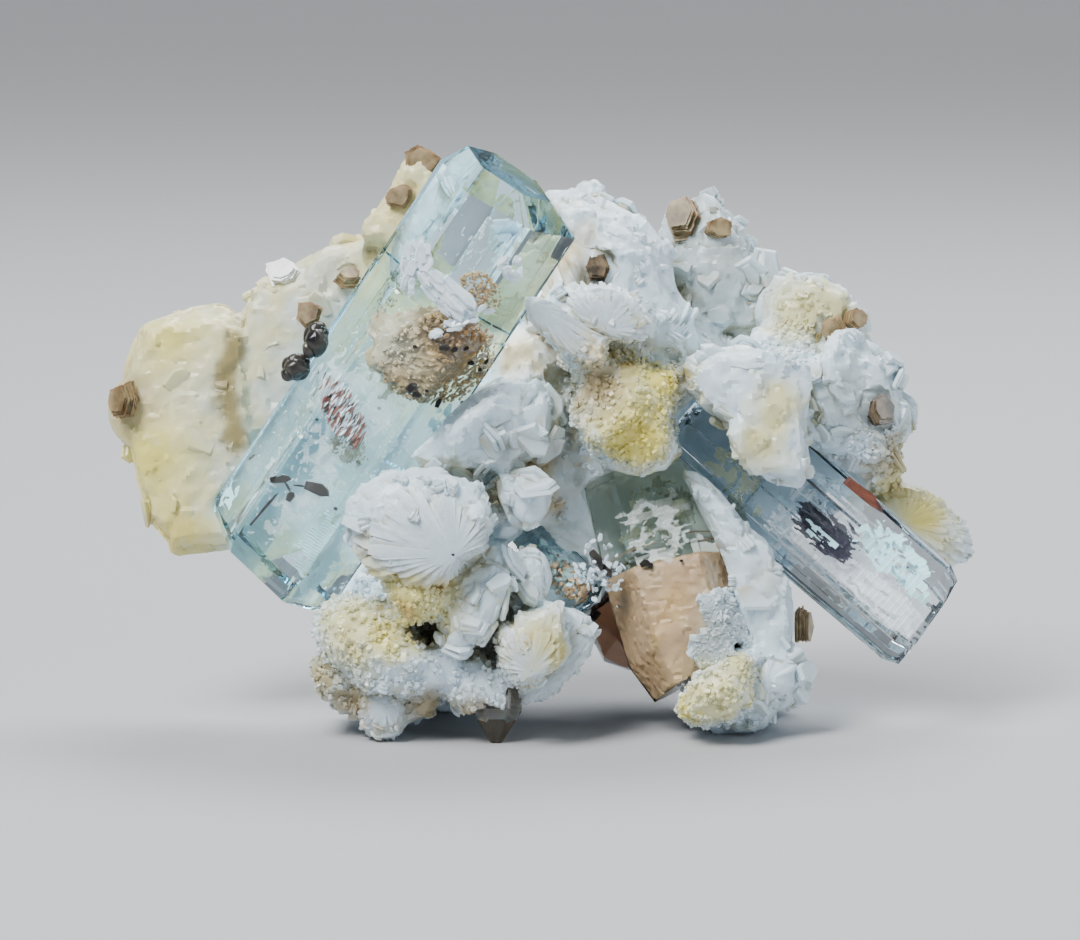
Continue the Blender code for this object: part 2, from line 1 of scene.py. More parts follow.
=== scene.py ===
"""Looks of the aquamarine specimen: albite slabs, feldspar, mica sheets and what lies inside the crystals.

Places are given as in the part's source: millimetres on the display face, as (across, up, out).
"""

import math
import random
from itertools import product

import bmesh
import bpy
import numpy as np
from mathutils import Matrix, Vector
from mathutils.bvhtree import BVHTree


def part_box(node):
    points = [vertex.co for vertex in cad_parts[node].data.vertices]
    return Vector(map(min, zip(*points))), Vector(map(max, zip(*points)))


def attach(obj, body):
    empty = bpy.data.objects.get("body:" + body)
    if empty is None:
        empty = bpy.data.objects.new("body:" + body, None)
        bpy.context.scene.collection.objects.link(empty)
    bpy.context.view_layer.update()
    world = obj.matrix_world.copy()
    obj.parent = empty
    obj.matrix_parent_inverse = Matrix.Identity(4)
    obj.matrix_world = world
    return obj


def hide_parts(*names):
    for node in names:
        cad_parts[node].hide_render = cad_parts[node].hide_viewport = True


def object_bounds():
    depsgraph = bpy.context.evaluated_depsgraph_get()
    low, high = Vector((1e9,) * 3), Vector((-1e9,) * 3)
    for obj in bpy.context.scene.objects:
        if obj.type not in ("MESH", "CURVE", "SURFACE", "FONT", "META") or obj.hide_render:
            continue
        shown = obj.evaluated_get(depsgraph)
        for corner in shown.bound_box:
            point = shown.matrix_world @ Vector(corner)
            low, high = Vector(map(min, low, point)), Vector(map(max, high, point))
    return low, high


MM = 0.001
DISPLAY_LEAN = math.radians(8.0)
ACROSS = Vector((1, 0, 0))
UP = Vector((0, math.sin(DISPLAY_LEAN), math.cos(DISPLAY_LEAN)))
OUT = Vector((0, -math.cos(DISPLAY_LEAN), math.sin(DISPLAY_LEAN)))
DISPLAY_ZERO = Vector((-0.109, -7.637, -1.9))  # the display face's zero, in the frame's millimetres

PHOTO_WIDTH = 0.135  # what the photograph takes in, across the display face, in metres
CAMERA_DISTANCE = 0.72
SENSOR_WIDTH = 36  # in millimetres
FLOOR_REACH = 3.0  # how far the floor is flat, in metres
FLOOR_STEPS = 12
FLOOR_SIDES = 48
WALL_TOP = 4.0
VIEW_CENTRE = (0, 33.75, 0)
SOCKET = 0.25  # how far the rock keeps from a crystal
NEAR_CORNER = (0.035, 0.965)  # where a crystal's side starts and ends, as shares of the way between corners

# Each crystal: foot, head, corner radius, and rings of
# (distance from the foot, share of the section, slope to the side, slope to the front, shift to the side).
CRYSTALS = {
    "aquamarine_large": ((-33.4, 23.1, 1), (-3.5, 67.5, 15), 10.0, [
        (-1.0, 0.92, 0.16, 0, 0), (0.2, 1.0, 0.16, 0, 0), (17, 1.0, 0, 0, 0), (17.4, 0.985, 0, 0, 0),
        (39, 0.985, 0, 0, 0), (39.3, 0.97, 0, 0, 0), (54.6, 0.97, -0.06, 0, 0), (57.3, 0.62, 0, 0, 1.6)]),
    "aquamarine_right": ((18.9, 40.6, 0), (48.1, 14.9, 5), 7.6, [
        (0, 1.0, 0, 0, 0), (12, 1.04, 0, 0, 0), (12.3, 1.0, 0, 0, 0), (26, 0.98, 0, 0, 0),
        (37.4, 0.96, -0.09, 0.04, 0), (39.3, 0.84, -0.09, 0.1, 0)]),
    "aquamarine_centre": ((12.2, 33.4, 2.5), (20.4, 6.3, 7.5), 8.4, [
        (0, 0.86, 0, 0, 0), (10, 0.95, 0, 0, 0), (10.3, 0.98, 0, 0, 0), (21.5, 1.0, -0.2, 0.05, 0),
        (26.4, 0.78, -0.22, 0.05, 0)]),
    "aquamarine_small": ((-2.2, 24.4, 2), (6.0, 15.6, 6.6), 4.6, [
        (0, 0.9, 0, 0, 0), (9, 1.0, 0, 0, 0), (11.2, 0.9, 0, 0.1, 0)]),
    "quartz_tip": ((-5.2, 9.6, 10.5), (-5.4, -0.2, 12.0), 3.2, [
        (0, 1.0, 0, 0, 0), (5.6, 0.98, 0, 0, 0), (9.6, 0.2, 0, 0, 0)]),
}

EDGE_SPACING = 0.5  # between the points along a slab's edge
SLAB_LEAN = 7  # the most that a slab's front leans, in degrees
# From the back of a slab over its edge and in over its front: shares of the way from its root to its edge.
SLAB_SHARES = (0.6, 1.0, 1.0, 0.97, 0.92, 0.86, 0.79, 0.71, 0.62, 0.52, 0.41, 0.29, 0.16)
FACET_SIZE = 4.2  # of the broad facets on a slab's front
RIPPLE_SIZE = 1.2

FAN_WIDTHS = (3.5, 7.5)  # of the blades of a fan, in degrees
FAN_STEP = 0.72  # how far along the next blade starts, as a share of a blade's width
FAN_SHRINK = 0.19  # how much shorter each layer of a fan is
FAN_RISE = 0.12  # how much higher each layer of a fan is
FAN_UNEVEN = 0.09

# Lobes of massive slabs: seed, outline, depth of the rim, swell to the front and to the back, number of
# slabs, the spot that they gather at, and tooth size.
ALBITE_SLABS = {
    "top_rosette": (
        2, [(0, 68.8), (4.4, 68.9), (8.8, 67.1), (13.1, 65), (15.6, 61.9), (16.5, 57.5), (18.8, 53.8),
        (20, 49.4), (18.8, 46), (12.5, 45), (7.5, 46.9), (2.5, 50.6), (-1.3, 52.5), (-2.5, 57.5),
        (-1.3, 63.8)], 2, 11, 14, 4, (5, 56), 0.35),
    "right_block": (
        3, [(17.5, 47.2), (20.6, 48.8), (25, 49.4), (28.8, 47.5), (32.2, 45.2), (33.2, 42.5), (33, 37.5),
        (33.5, 33.8), (32.5, 31.4), (28.5, 32), (26, 33.8), (24.4, 36.5), (22.8, 39.4), (20, 41.5),
        (17.8, 43.8)], 9, 8, 16, 2, (26, 42.5), 0.3),
    "right_shoulder": (
        4, [(24.4, 49), (29.4, 51.2), (36.2, 49.4), (40.2, 50.4), (43.5, 48.6), (45, 44.4), (46.5, 41),
        (46, 37.5), (43.8, 36), (45.4, 34), (42, 32.5), (35, 34.4), (31.2, 37.5)],
        0, 8, 13, 4, (35, 42), 0.45),
    "back_mound": (
        5, [(15, 62.8), (16, 65.6), (18.8, 68.1), (21.5, 68.8), (23.8, 66.2), (25.6, 63.5), (27.8, 59.8),
        (30.9, 58.5), (31.2, 56.2), (30.6, 52.5), (27.5, 49.4), (22.5, 48.1), (18.8, 50), (16.5, 55),
        (15.5, 59.4)], -11, 8, 9, 2, (22, 58), 0.25),
    "right_plates": (
        6, [(27.8, 56.2), (30.6, 58.1), (35.2, 58.3), (38.5, 56.5), (40.2, 53.5), (40.9, 50.6),
        (38.8, 48.5), (32.5, 47.5), (28.1, 49.4), (26.9, 53.1)], -4, 5, 8, 3, (33, 51), 0.35),
    "centre_slabs": (
        11, [(-17.8, 34.8), (-15, 37.8), (-11.9, 41), (-8.8, 43.5), (-4.4, 45.9), (0, 45.6), (2.5, 42.8),
        (2, 37.5), (-0.6, 34.8), (-5, 33.3), (-11.2, 33), (-15, 33.6)], 7, 6, 15, 4, (-6, 38.5), 0.3),
    "centre_wedge": (
        12, [(-5.5, 33), (-1.2, 34.2), (1.6, 32.5), (1.5, 29), (-1, 26), (-3.5, 26.8), (-5, 30)],
        10, 3, 10, 2, (-1.5, 31), 0.25),
    "long_blade": (
        15, [(-6.5, 24.4), (-4, 24.4), (-3.2, 21.9), (-4.4, 17.8), (-6.9, 13.8), (-10.2, 11.3), (-12.8, 12),
        (-12.2, 16.2), (-10.2, 20.6)], 15, 5, 8, 3, (-8, 17.5), 0.2),
    "short_blade": (
        16, [(-3.5, 23.5), (-1, 24.6), (1, 23), (1.6, 20), (0.6, 17.5), (-1.5, 16.8), (-3.4, 18.8)],
        11, 4, 8, 2, (-1, 20.5), 0.2),
    "right_blade": (
        24, [(17.2, 33.8), (20, 33.4), (22.8, 30.6), (25.6, 27), (28.5, 24.6), (29.6, 21.5), (31.2, 19.8),
        (31.6, 11.9), (28.4, 10.4), (25.5, 12.5), (24, 17.5), (22.6, 22.5), (19.4, 29.4)],
        6, 5, 12, 2, (26.5, 20), 0.2),
    "right_foot": (
        25, [(26, 14.1), (31.6, 12.4), (33.2, 10.8), (33.1, 6.2), (31.3, 5), (29, 3.8), (27.2, 1.4),
        (24.8, 0.9), (22, 0.9), (20.2, 2), (21, 6.2), (23.4, 10)], 5.5, 7, 11, 3, (27, 7.5), 0.4),
}

# As above, of feldspar.
FELDSPAR_SLABS = {
    "left_block": (
        70, [(-49.8, 52.2), (-46.9, 53.2), (-43.8, 54.3), (-39.4, 54.8), (-36.6, 52.5), (-35.5, 42.5),
        (-34.4, 33.8), (-35.5, 25), (-39, 23.7), (-43.8, 23.2), (-46.2, 22.8), (-46.8, 25), (-48.7, 26.9),
        (-50.2, 31.2), (-51.7, 37.8), (-53, 42.5), (-51.6, 48.8)], -3, 5, 10, 2, (-43, 38), 0.2),
    "middle_block": (
        71, [(-37.6, 53.4), (-36.4, 55.6), (-35.4, 57.6), (-32.4, 58.6), (-30, 60), (-26.2, 62.2),
        (-21, 63), (-19, 56.2), (-21, 49), (-26, 41), (-32, 36.2), (-36.4, 37.5), (-37.2, 45)],
        -4, 5, 9, 2, (-29, 50), 0.3),
    "upper_ridge": (
        72, [(-21.5, 62.5), (-21.5, 64.8), (-19.8, 67.4), (-18.2, 69.9), (-17, 72.9), (-14.4, 73.7),
        (-12.5, 72), (-10.4, 71.2), (-10.6, 67.5), (-13.8, 60.4), (-17, 56)], -1, 5, 8, 2, (-16, 65), 0.35),
}

# Lobes of narrow blades: seed, outline, depth of the rim, swell to the front, number of layers, the spot
# that the blades spread from, and tooth size.
ALBITE_FANS = {
    "far_right_fan": (
        7, [(41, 32.2), (44.4, 32.8), (47.5, 32.1), (50.6, 30.4), (52.9, 27.6), (54.9, 24.4), (54.3, 22.5),
        (51.5, 21), (48.8, 20), (45, 22.5), (42, 26)], -4, 4.5, 3, (45.5, 27), 0.4),
    "upper_blade": (
        9, [(-2.2, 55), (0.6, 54.8), (5, 51.8), (8.5, 49.2), (8.2, 46.6), (5.6, 46.4), (2.5, 48.4),
        (-1.2, 51.2)], 16, 3, 2, (-0.6, 53.8), 0.5),
    "curved_blade": (
        10, [(0.6, 56), (4.4, 57.2), (8.8, 56.8), (12.5, 55.4), (14.6, 53.1), (14.3, 50), (10.6, 49.2),
        (6.2, 50.4), (2.5, 52.8)], 14, 3.5, 3, (8, 51), 0.6),
    "front_fan": (
        13, [(-24.2, 30.4), (-22.2, 32.5), (-17.8, 34), (-13.8, 34.7), (-11.2, 34.4), (-10.2, 33),
        (-7.5, 32.8), (-5.5, 30.2), (-5, 27.5), (-6, 24.4), (-8.8, 22.8), (-11, 19.4), (-14.4, 18.5),
        (-17.8, 19.4), (-21, 21.2), (-23.2, 23.5), (-24.2, 26.9)], 17, 6.5, 2, (-10.4, 23.4), 0.8),
    "left_foot": (
        18, [(-22.8, 6), (-20, 7.8), (-17.2, 6.6), (-16, 3.1), (-16.8, 0.9), (-18.8, 0.2), (-20.6, 0.4),
        (-22.4, 2.2)], 9.5, 4, 3, (-19, 5), 0.45),
    "star_plate": (
        21, [(-5.9, 14.3), (-3.6, 15.8), (-2.9, 17.2), (-0.8, 16.6), (2, 18.5), (3.2, 18.1), (3.5, 14.3),
        (3, 10.1), (0.8, 8.6), (-0.9, 7.2), (-3.6, 7.2), (-5, 9.5)], 16, 3.2, 3, (-1.0, 9.2), 1.0),
    "side_blade": (
        22, [(3, 16.9), (4.8, 16.8), (7.8, 14.4), (7.7, 13.5), (6.7, 12.9), (6.6, 10.8), (3.6, 8.3),
        (2.7, 6.5), (0.6, 5.3), (-1.9, 4.6), (-2.8, 5.2), (-3.4, 8.5), (-1.5, 13)],
        11, 3.4, 2, (0.4, 7.6), 0.8),
}

# Mica books: centre, radius, thickness, then turn about up, pitch and spin in degrees, and number of sides.
MICA_BOOKS = {
    "mica_left_edge": ((-52.2, 42.4, 1.4), 2.9, 2.4, -40, 6, 10, 6),
    "mica_cream_middle": ((-28.8, 53.4, 3.0), 2.1, 1.6, -8, 10, 20, 6),
    "mica_cream_upper": ((-23.9, 57.9, 1.6), 2.0, 1.5, 10, 52, 4, 6),
    "mica_pearl": ((-32.3, 58.6, -1.6), 2.6, 1.8, -12, 30, 0, 9),
    "mica_gold_disc": ((-17.6, 67.8, 3.6), 2.1, 1.6, -10, 6, 0, 10),
    "mica_gold_crest": ((-14.6, 72.0, 0.6), 2.9, 1.8, 6, 16, 14, 8),
    "mica_top_right": ((18.0, 65.4, -7.0), 3.6, 4.2, -22, 18, 8, 6),
    "mica_top_right_small": ((22.2, 64.0, -5.4), 2.3, 3.0, 14, 14, 20, 6),
    "mica_right_bar": ((36.4, 51.2, 2.2), 2.2, 2.6, -20, 4, 8, 6),
    "mica_right_bar_end": ((39.6, 52.6, 0.2), 1.8, 2.2, 24, 8, 16, 6),
    "mica_dark_book": ((42.2, 41.2, 6.6), 2.5, 2.8, 22, 10, 12, 6),
    "mica_olive_lens": ((32.9, 14.2, 2.4), 2.9, 1.8, 78, 0, 0, 8),
    "mica_in_hollow": ((6.9, 58.6, 12.4), 2.4, 1.4, 8, 24, 0, 6),
    "mica_back": ((15.5, 54.5, -22.6), 3.4, 2.6, 186, 26, 12, 6),
    "mica_back_low": ((-6.5, 12.8, -18.4), 2.6, 2.2, 168, -8, 0, 6),
}
# Room that small blades and grains keep, and their roots: from a crystal, and above the resting plane.
GROWN_ROOM = 0.3
ROOTS_ROOM = 0.75
ABOVE_PLANE = 0.1 * MM
ROOTS_ABOVE = 1.1 * MM
# Kinds of small albite blades: length, lean from upright, blades in a stack, width share and thickness.
STACKS = ((1.4, 3.2), (12, 55), 6, (0.4, 0.8), (0.3, 0.5))
PLATES = ((2.8, 6.2), (70, 88), 3, (0.5, 0.9), (0.5, 0.8))

# Sugary parts of the albite: across, up and reach.
SUGAR_ZONES = [
    (10.5, 41, 8.2), (-15, 18.5, 4.8), (-22, 15, 6), (-18, 10, 6), (22, 6, 7.5), (19, 12, 4.5),
    (-4, 9.5, 3.5), (46, 28, 3), (42, 35, 4.5), (33, 53, 3), (31, 49, 3), (-26, 8, 3.5), (-8.5, 6, 4),
]

# Dark marks in the main crystal: across, up, length, width and heading in degrees.
LARGE_MARKS = [
    (-33.9, 29.1, 5.6, 0.42, 50), (-31.8, 32.7, 2.6, 1.0, 10), (-31, 31.8, 1.5, 0.35, -60),
    (-30.7, 30.6, 1.4, 1.0, 60), (-27.3, 31.5, 3.4, 1.6, -20), (-29.5, 31.9, 1.6, 0.3, -5),
    (-35.5, 35.3, 1.3, 0.45, 20), (-25.1, 29.1, 0.5, 0.5, 0), (-22.2, 34.8, 0.6, 0.6, 0),
]
LARGE_SPECKS = [
    (-15.6, 43.9, 1.5, 1.1, 40), (-15.0, 43.0, 1.2, 0.9, 0), (-12.5, 42.0, 1.3, 0.8, 70),
    (-9.6, 42.1, 0.6, 0.5, 0), (-15.2, 48.8, 0.6, 0.5, 0), (-11.6, 48.7, 1.5, 0.9, 5),
    (-10.4, 48.4, 0.9, 0.7, 30), (-9.0, 48.6, 0.8, 0.6, 20), (-8.5, 46.9, 1.0, 0.7, 0),
    (-7.4, 46.1, 0.6, 0.6, 0), (-6.6, 47.1, 0.8, 0.6, 60), (-13.8, 43.4, 0.5, 0.4, 0),
]
# Black rods beside the small crystal: across, up, out, heading in degrees, length and width.
ROD_SPOTS = [
    (7.0, 22.8, 11.4, -55, 2.6, 1.3), (8.2, 21.4, 11.2, -50, 2.2, 0.9), (7.4, 22.0, 11.8, -70, 1.4, 0.8),
]
MICA_KINDS = {"mica_pearl": "pearl", "mica_dark_book": "dark_mica", "mica_in_hollow": "dark_mica"}
SHEET = 0.24  # thickness of one visible sheet of mica

KNOBS = 9  # in each clump of tourmaline
KNOB_SIZES = (0.45, 0.66)  # as shares of the clump
# The two clumps of tourmaline: centre and half their size.
TOURMALINE_CLUMPS = {
    "tourmaline_upper": ((-27.6, 49.6, 8.2), (2.1, 2.5, 2.2)),
    "tourmaline_lower": ((-30.2, 46.3, 7.6), (2.2, 1.9, 2.1)),
}

# Colours
WHITE = (0.68, 0.82, 0.91)
CREAM = (0.76, 0.72, 0.36)
YELLOW = (0.76, 0.66, 0.13)
TAN = (0.47, 0.38, 0.21)
GREY = (0.44, 0.50, 0.50)
OLIVE = (0.42, 0.38, 0.18)
# painted shade of deep holes in the albite, not a dark mineral
HOLE_SHADE = (0.12, 0.11, 0.07)
MOSS = (0.15, 0.18, 0.13)
BROWN = (0.38, 0.25, 0.08)
PALE = (0.66, 0.76, 0.80)
FELDSPAR_WHITE = (0.76, 0.73, 0.42)
CLOUD_TAN = (0.36, 0.26, 0.11)
CORE_TAN = (0.36, 0.25, 0.14)
SEAM_BROWN = (0.34, 0.28, 0.12)

CREVICE_SHADE_AND_TAN = (0.70, 0.55, 0.33)  # painted shade with a tan stain in hollows: what a crevice's colour is multiplied by
SHUT_IN_REACH = 4.5 * MM
CREVICE_CELL = 1.2
WAYS_OUT = ((0, 0, 0.01), (1, 0, 0), (-1, 0, 0), (0, 1, 0), (0, -1, 0), (0, 0, 1), (0, 0, -1))

# Stains, and in the albite a few spots of painted shade in deep holes: centre, reach and colour. The colour
# fades out towards the reach.
ALBITE_STAINS_AND_HOLE_SHADE = [
    ((10.5, 41, 16), 8.5, CREAM), ((12, 37, 16), 6, YELLOW), ((14.5, 45, 14), 4, YELLOW),
    ((7, 44, 15), 4.5, TAN), ((-15, 17.5, 20), 4.5, YELLOW), ((-20.5, 20.5, 20), 3.2, YELLOW),
    ((-12.5, 17, 20), 3.5, CREAM), ((-23, 14.5, 15), 6.5, CREAM), ((-18, 13.5, 18), 3.5, YELLOW),
    ((-26.4, 8.5, 9), 4.2, OLIVE), ((-22.5, 5.5, 9), 4.5, TAN), ((-13.8, 4.2, 11), 3.6, TAN),
    ((-8.5, 4, 14), 3, TAN), ((0, 13.5, 18), 4, CREAM), ((1.5, 11.5, 17), 2.4, YELLOW),
    ((48, 28, 0), 4.8, YELLOW), ((45, 33, 0), 4.5, CREAM), ((43, 36, 3), 3.6, TAN),
    ((27, 36.5, 16), 4.2, CREAM), ((29, 41, 16), 4, CREAM), ((32, 54, 1), 5.5, CREAM),
    ((37, 54, -1), 4, CREAM), ((22, 58, -6), 8, GREY), ((18, 65, -6), 5.5, GREY), ((39, 42, 6), 4, GREY),
    ((21.5, 6, 17), 5.5, CREAM), ((17.5, 3.6, 14), 3, YELLOW), ((24.5, 10.5, 16), 4, CREAM),
    ((2.5, 61, 11), 4.2, TAN), ((-0.5, 56, 12), 3.6, TAN), ((-2, 48, 6), 4.5, TAN), ((0, 34, 6), 4, TAN),
    ((2.5, 30, 7), 4, TAN), ((27, 20, 8), 2.4, TAN), ((4, 62, 4), 4, CREAM), ((-5, 36, 10), 4, GREY),
    # the HOLE_SHADE entries are spots of painted shade where deep holes lie
    ((-6, 30, 8), 3.5, TAN), ((-5.8, 31.3, 11), 1.8, HOLE_SHADE), ((5.5, 57.6, 12), 2.2, HOLE_SHADE),
    ((-3.4, 49, 10), 2.4, HOLE_SHADE), ((-16.3, 16, 20), 1.5, BROWN), ((21.3, 38.6, 12), 2.8, MOSS),
    ((7.2, 48.4, 19.5), 1.7, (0.92, 0.72, 0.35)), ((21, 37.5, 9), 4, OLIVE), ((10, 44, -24), 9, CREAM),
    ((16, 36, -26), 5, TAN), ((-12, 30, -22), 9, CREAM), ((28, 44, -22), 8, GREY),
    ((-2, 40, -25), 6, YELLOW), ((22, 20, -18), 7, CREAM), ((-15, 10, -18), 7, TAN),
    ((5, 60, -16), 6, YELLOW),
]
FELDSPAR_STAINS = [
    ((-49, 35, 2), 6, (0.76, 0.68, 0.16)), ((-46.5, 50, 2), 5, (0.76, 0.68, 0.20)),
    ((-45, 26, 0), 5, (0.72, 0.62, 0.17)), ((-42, 44, 3), 5, (0.74, 0.74, 0.52)),
    ((-27, 58, 1), 6, (0.66, 0.69, 0.58)), ((-30, 44, 2), 6, (0.68, 0.70, 0.58)),
    ((-16, 66, 4), 5, (0.80, 0.70, 0.34)), ((-52, 42, 0), 4, TAN), ((-26, 42, -4), 13, PALE),
    ((-33, 32, -4), 9, PALE), ((-40, 40, -12), 9, (0.86, 0.78, 0.45)),
]
# The brown seam down the feldspar, as (across, up) from its top.
FELDSPAR_SEAM = [
    (-38.2, 54), (-37.9, 50.5), (-38.6, 47.5), (-39.3, 45), (-38.8, 42), (-38.1, 39), (-37.6, 36),
]
SEAM_STEPS = 4
for start, end in zip(FELDSPAR_SEAM, FELDSPAR_SEAM[1:]):
    for step in range(SEAM_STEPS):
        seam_spot = [a + (b - a) * step / SEAM_STEPS for a, b in zip(start, end)]
        FELDSPAR_STAINS.append(((*seam_spot, 1.5), 1.5, SEAM_BROWN))
CRUST_STAINS = [
    ((23, 6, 14), 5, CREAM), ((19, 6, 14), 4, YELLOW), ((21, 14, 14), 4, GREY),
]
CLOUD_STAINS = [
    ((-18, 49, 16), 4.5, (0.42, 0.42, 0.32)), ((-8.5, 51, 18), 4, (0.40, 0.22, 0.08)),
    ((-14, 43, 16), 3.5, (0.30, 0.26, 0.14)), ((-12, 50.5, 18), 2, (0.24, 0.17, 0.08)),
]
CORE_STAINS = [
    ((24, 16.5, 13), 4.5, (0.50, 0.48, 0.38)), ((23, 11.5, 14), 4, (0.62, 0.58, 0.44)),
    ((13, 20.5, 14), 3, (0.40, 0.38, 0.26)), ((17, 9, 14), 4, (0.58, 0.42, 0.22)),
    ((16, 18, 14), 2.5, BROWN), ((14, 11, 14), 2, BROWN), ((19, 5.5, 14), 2.5, BROWN),
]

BERYL_IOR = 1.577
QUARTZ_IOR = 1.544
FELDSPAR_IOR = 1.53
# Materials whose colour wanders between two shades, and how finely.
MOTTLED = (
    ("mica", (0.12, 0.08, 0.035), (0.36, 0.28, 0.15), 520),
    ("dark_mica", (0.05, 0.04, 0.03), (0.20, 0.15, 0.09), 700),
    ("pearl", (0.66, 0.70, 0.68), (0.90, 0.92, 0.90), 600),
    ("tourmaline", (0.010, 0.010, 0.012), (0.05, 0.045, 0.04), 600),
    ("tan_cloud", (0.40, 0.28, 0.15), (0.72, 0.56, 0.36), 900),
    ("silk", (0.60, 0.74, 0.84), (0.84, 0.93, 0.98), 700),
    ("rust", (0.10, 0.035, 0.03), (0.30, 0.09, 0.05), 800),
)


def on_display(across, up, out):
    """A place on the display face as a point in the frame, in metres."""
    return (DISPLAY_ZERO + ACROSS * across + UP * up + OUT * out) * MM


def to_frame(places):
    """As on_display, for rows of an array."""
    axes = np.array([ACROSS, UP, OUT])
    return (places @ axes + np.array(DISPLAY_ZERO)) * MM


def to_display(points):
    """The other way: rows of frame points, in metres, as places on the display face."""
    axes = np.array([ACROSS, UP, OUT])
    return (points / MM - np.array(DISPLAY_ZERO)) @ axes.T


def facing(turn, pitch, spin=0.0):
    """Axes (side, top, front) of a plate turned about up, then pitched back, in the display face's terms."""
    turned = Matrix.Rotation(math.radians(turn), 3, UP)
    side = turned @ ACROSS
    pitched = Matrix.Rotation(-math.radians(pitch), 3, side)
    front = pitched @ turned @ OUT
    spun = Matrix.Rotation(math.radians(spin), 3, front)
    return spun @ side, spun @ pitched @ turned @ UP, front


def spots_beside(centre, x, y, turn):
    """Across and up of points x and y beside a centre, turned by an angle in degrees."""
    slant = math.radians(turn)
    across = centre[0] + x * math.cos(slant) - y * math.sin(slant)
    up = centre[1] + x * math.sin(slant) + y * math.cos(slant)
    return across, up


def band_faces(count, rings):
    """Faces between neighbouring rings of count points each."""
    faces = []
    for r in range(0, (rings - 1) * count, count):
        for i in range(count):
            j = (i + 1) % count
            faces.append((r + i, r + j, r + j + count, r + i + count))
    return faces


def capped_faces(count, rings):
    """As band_faces, with a face over each end."""
    last = (rings - 1) * count
    return [tuple(range(count))[::-1], tuple(range(last, last + count)), *band_faces(count, rings)]


# Repeatable noise

def hashed(cells, salt):
    """Repeatable numbers from 0 to 1, one for each row of whole numbers."""
    mixed = (cells.astype(np.int64) * np.array([73856093, 19349663, 83492791])).sum(1) + salt * 26544357
    mixed = (mixed ^ (mixed >> 13)) * 1274126177
    mixed = (mixed ^ (mixed >> 16)) & 0xFFFFFF
    return mixed / 0xFFFFFF


def soft_noise(points, size, salt):
    """Smooth noise from -1 to 1 at rows of points, with features of the given size."""
    scaled = points / size
    base = np.floor(scaled).astype(np.int64)
    part = scaled - base
    part = part * part * (3 - 2 * part)
    total = np.zeros(len(points))
    for step in product((0, 1), repeat=3):
        weight = np.prod(np.where(np.array(step) == 1, part, 1 - part), axis=1)
        total += weight * hashed(base + np.array(step), salt)
    return total * 2 - 1


def grain_field(points, size, salt):
    """For rows of points, a height in tilted facets, one facet for each grain of about the given size."""
    scaled = points / size
    base = np.floor(scaled).astype(np.int64)
    best = np.full(len(points), np.inf)
    height = np.zeros(len(points))
    for step in product((-1, 0, 1), repeat=3):
        cell = base + np.array(step)
        spot = cell + np.stack([hashed(cell, salt + k) for k in range(3)], 1)
        away = scaled - spot
        reach = (away**2).sum(1)
        tilt = np.stack([hashed(cell, salt + 5 + k) - 0.5 for k in range(3)], 1)
        facet = hashed(cell, salt + 9) - 0.5 + (away * tilt).sum(1) * 1.6
        closer = reach < best
        best = np.where(closer, reach, best)
        height = np.where(closer, facet, height)
    return height


# Objects

def placed(name, data):
    """A new object with the data, in the scene."""
    obj = bpy.data.objects.new(name, data)
    bpy.context.scene.collection.objects.link(obj)
    return obj


def new_piece(name, points, faces, material, smooth_angle=None):
    """A mesh object that rides on the specimen."""
    mesh = bpy.data.meshes.new(name)
    mesh.from_pydata([tuple(p) for p in points], [], faces)
    mesh.validate()
    obj = placed(name, mesh)
    dress(obj, material, smooth_angle)
    return obj


def dress(obj, material, smooth_angle=None):
    """Gives an object its material, slot and body. Without a smooth angle it is shaded flat."""
    obj.data.materials.clear()
    obj.data.materials.append(material)
    if smooth_angle is None:
        obj.data.shade_flat()
    else:
        obj.data.shade_smooth()
        obj.data.set_sharp_from_angle(angle=math.radians(smooth_angle))
    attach(obj, "root")


def vertex_rows(mesh, kind):
    flat = np.empty(len(mesh.vertices) * 3)
    mesh.vertices.foreach_get(kind, flat)
    return flat.reshape(-1, 3)


def coordinates(mesh):
    return vertex_rows(mesh, "co")


def normals(mesh):
    return vertex_rows(mesh, "normal")


def set_coordinates(mesh, points):
    mesh.vertices.foreach_set("co", points.ravel())
    mesh.update()


def add_remesh(obj, voxel):
    remesh = obj.modifiers.new("Remesh", "REMESH")
    remesh.mode, remesh.voxel_size = "VOXEL", voxel * MM


def apply_modifiers(obj):
    """Makes what an object's modifiers give its own mesh."""
    graph = bpy.context.evaluated_depsgraph_get()
    mesh = bpy.data.meshes.new_from_object(obj.evaluated_get(graph))
    obj.modifiers.clear()
    obj.data = mesh


def shut_in(mesh, tree):
    """The share of short straight ways out that rock blocks, from 0 to 1 for each point of a mesh."""
    points, directions = coordinates(mesh), normals(mesh)
    blocked = np.zeros(len(points))
    for way in WAYS_OUT:
        aim = unit(directions + np.array(way) * 0.9)
        starts = points + directions * 0.1 * MM
        for k, (start, heading) in enumerate(zip(starts.tolist(), aim.tolist())):
            if tree.ray_cast(start, heading, SHUT_IN_REACH)[0]:
                blocked[k] += 1
    return blocked / len(WAYS_OUT)


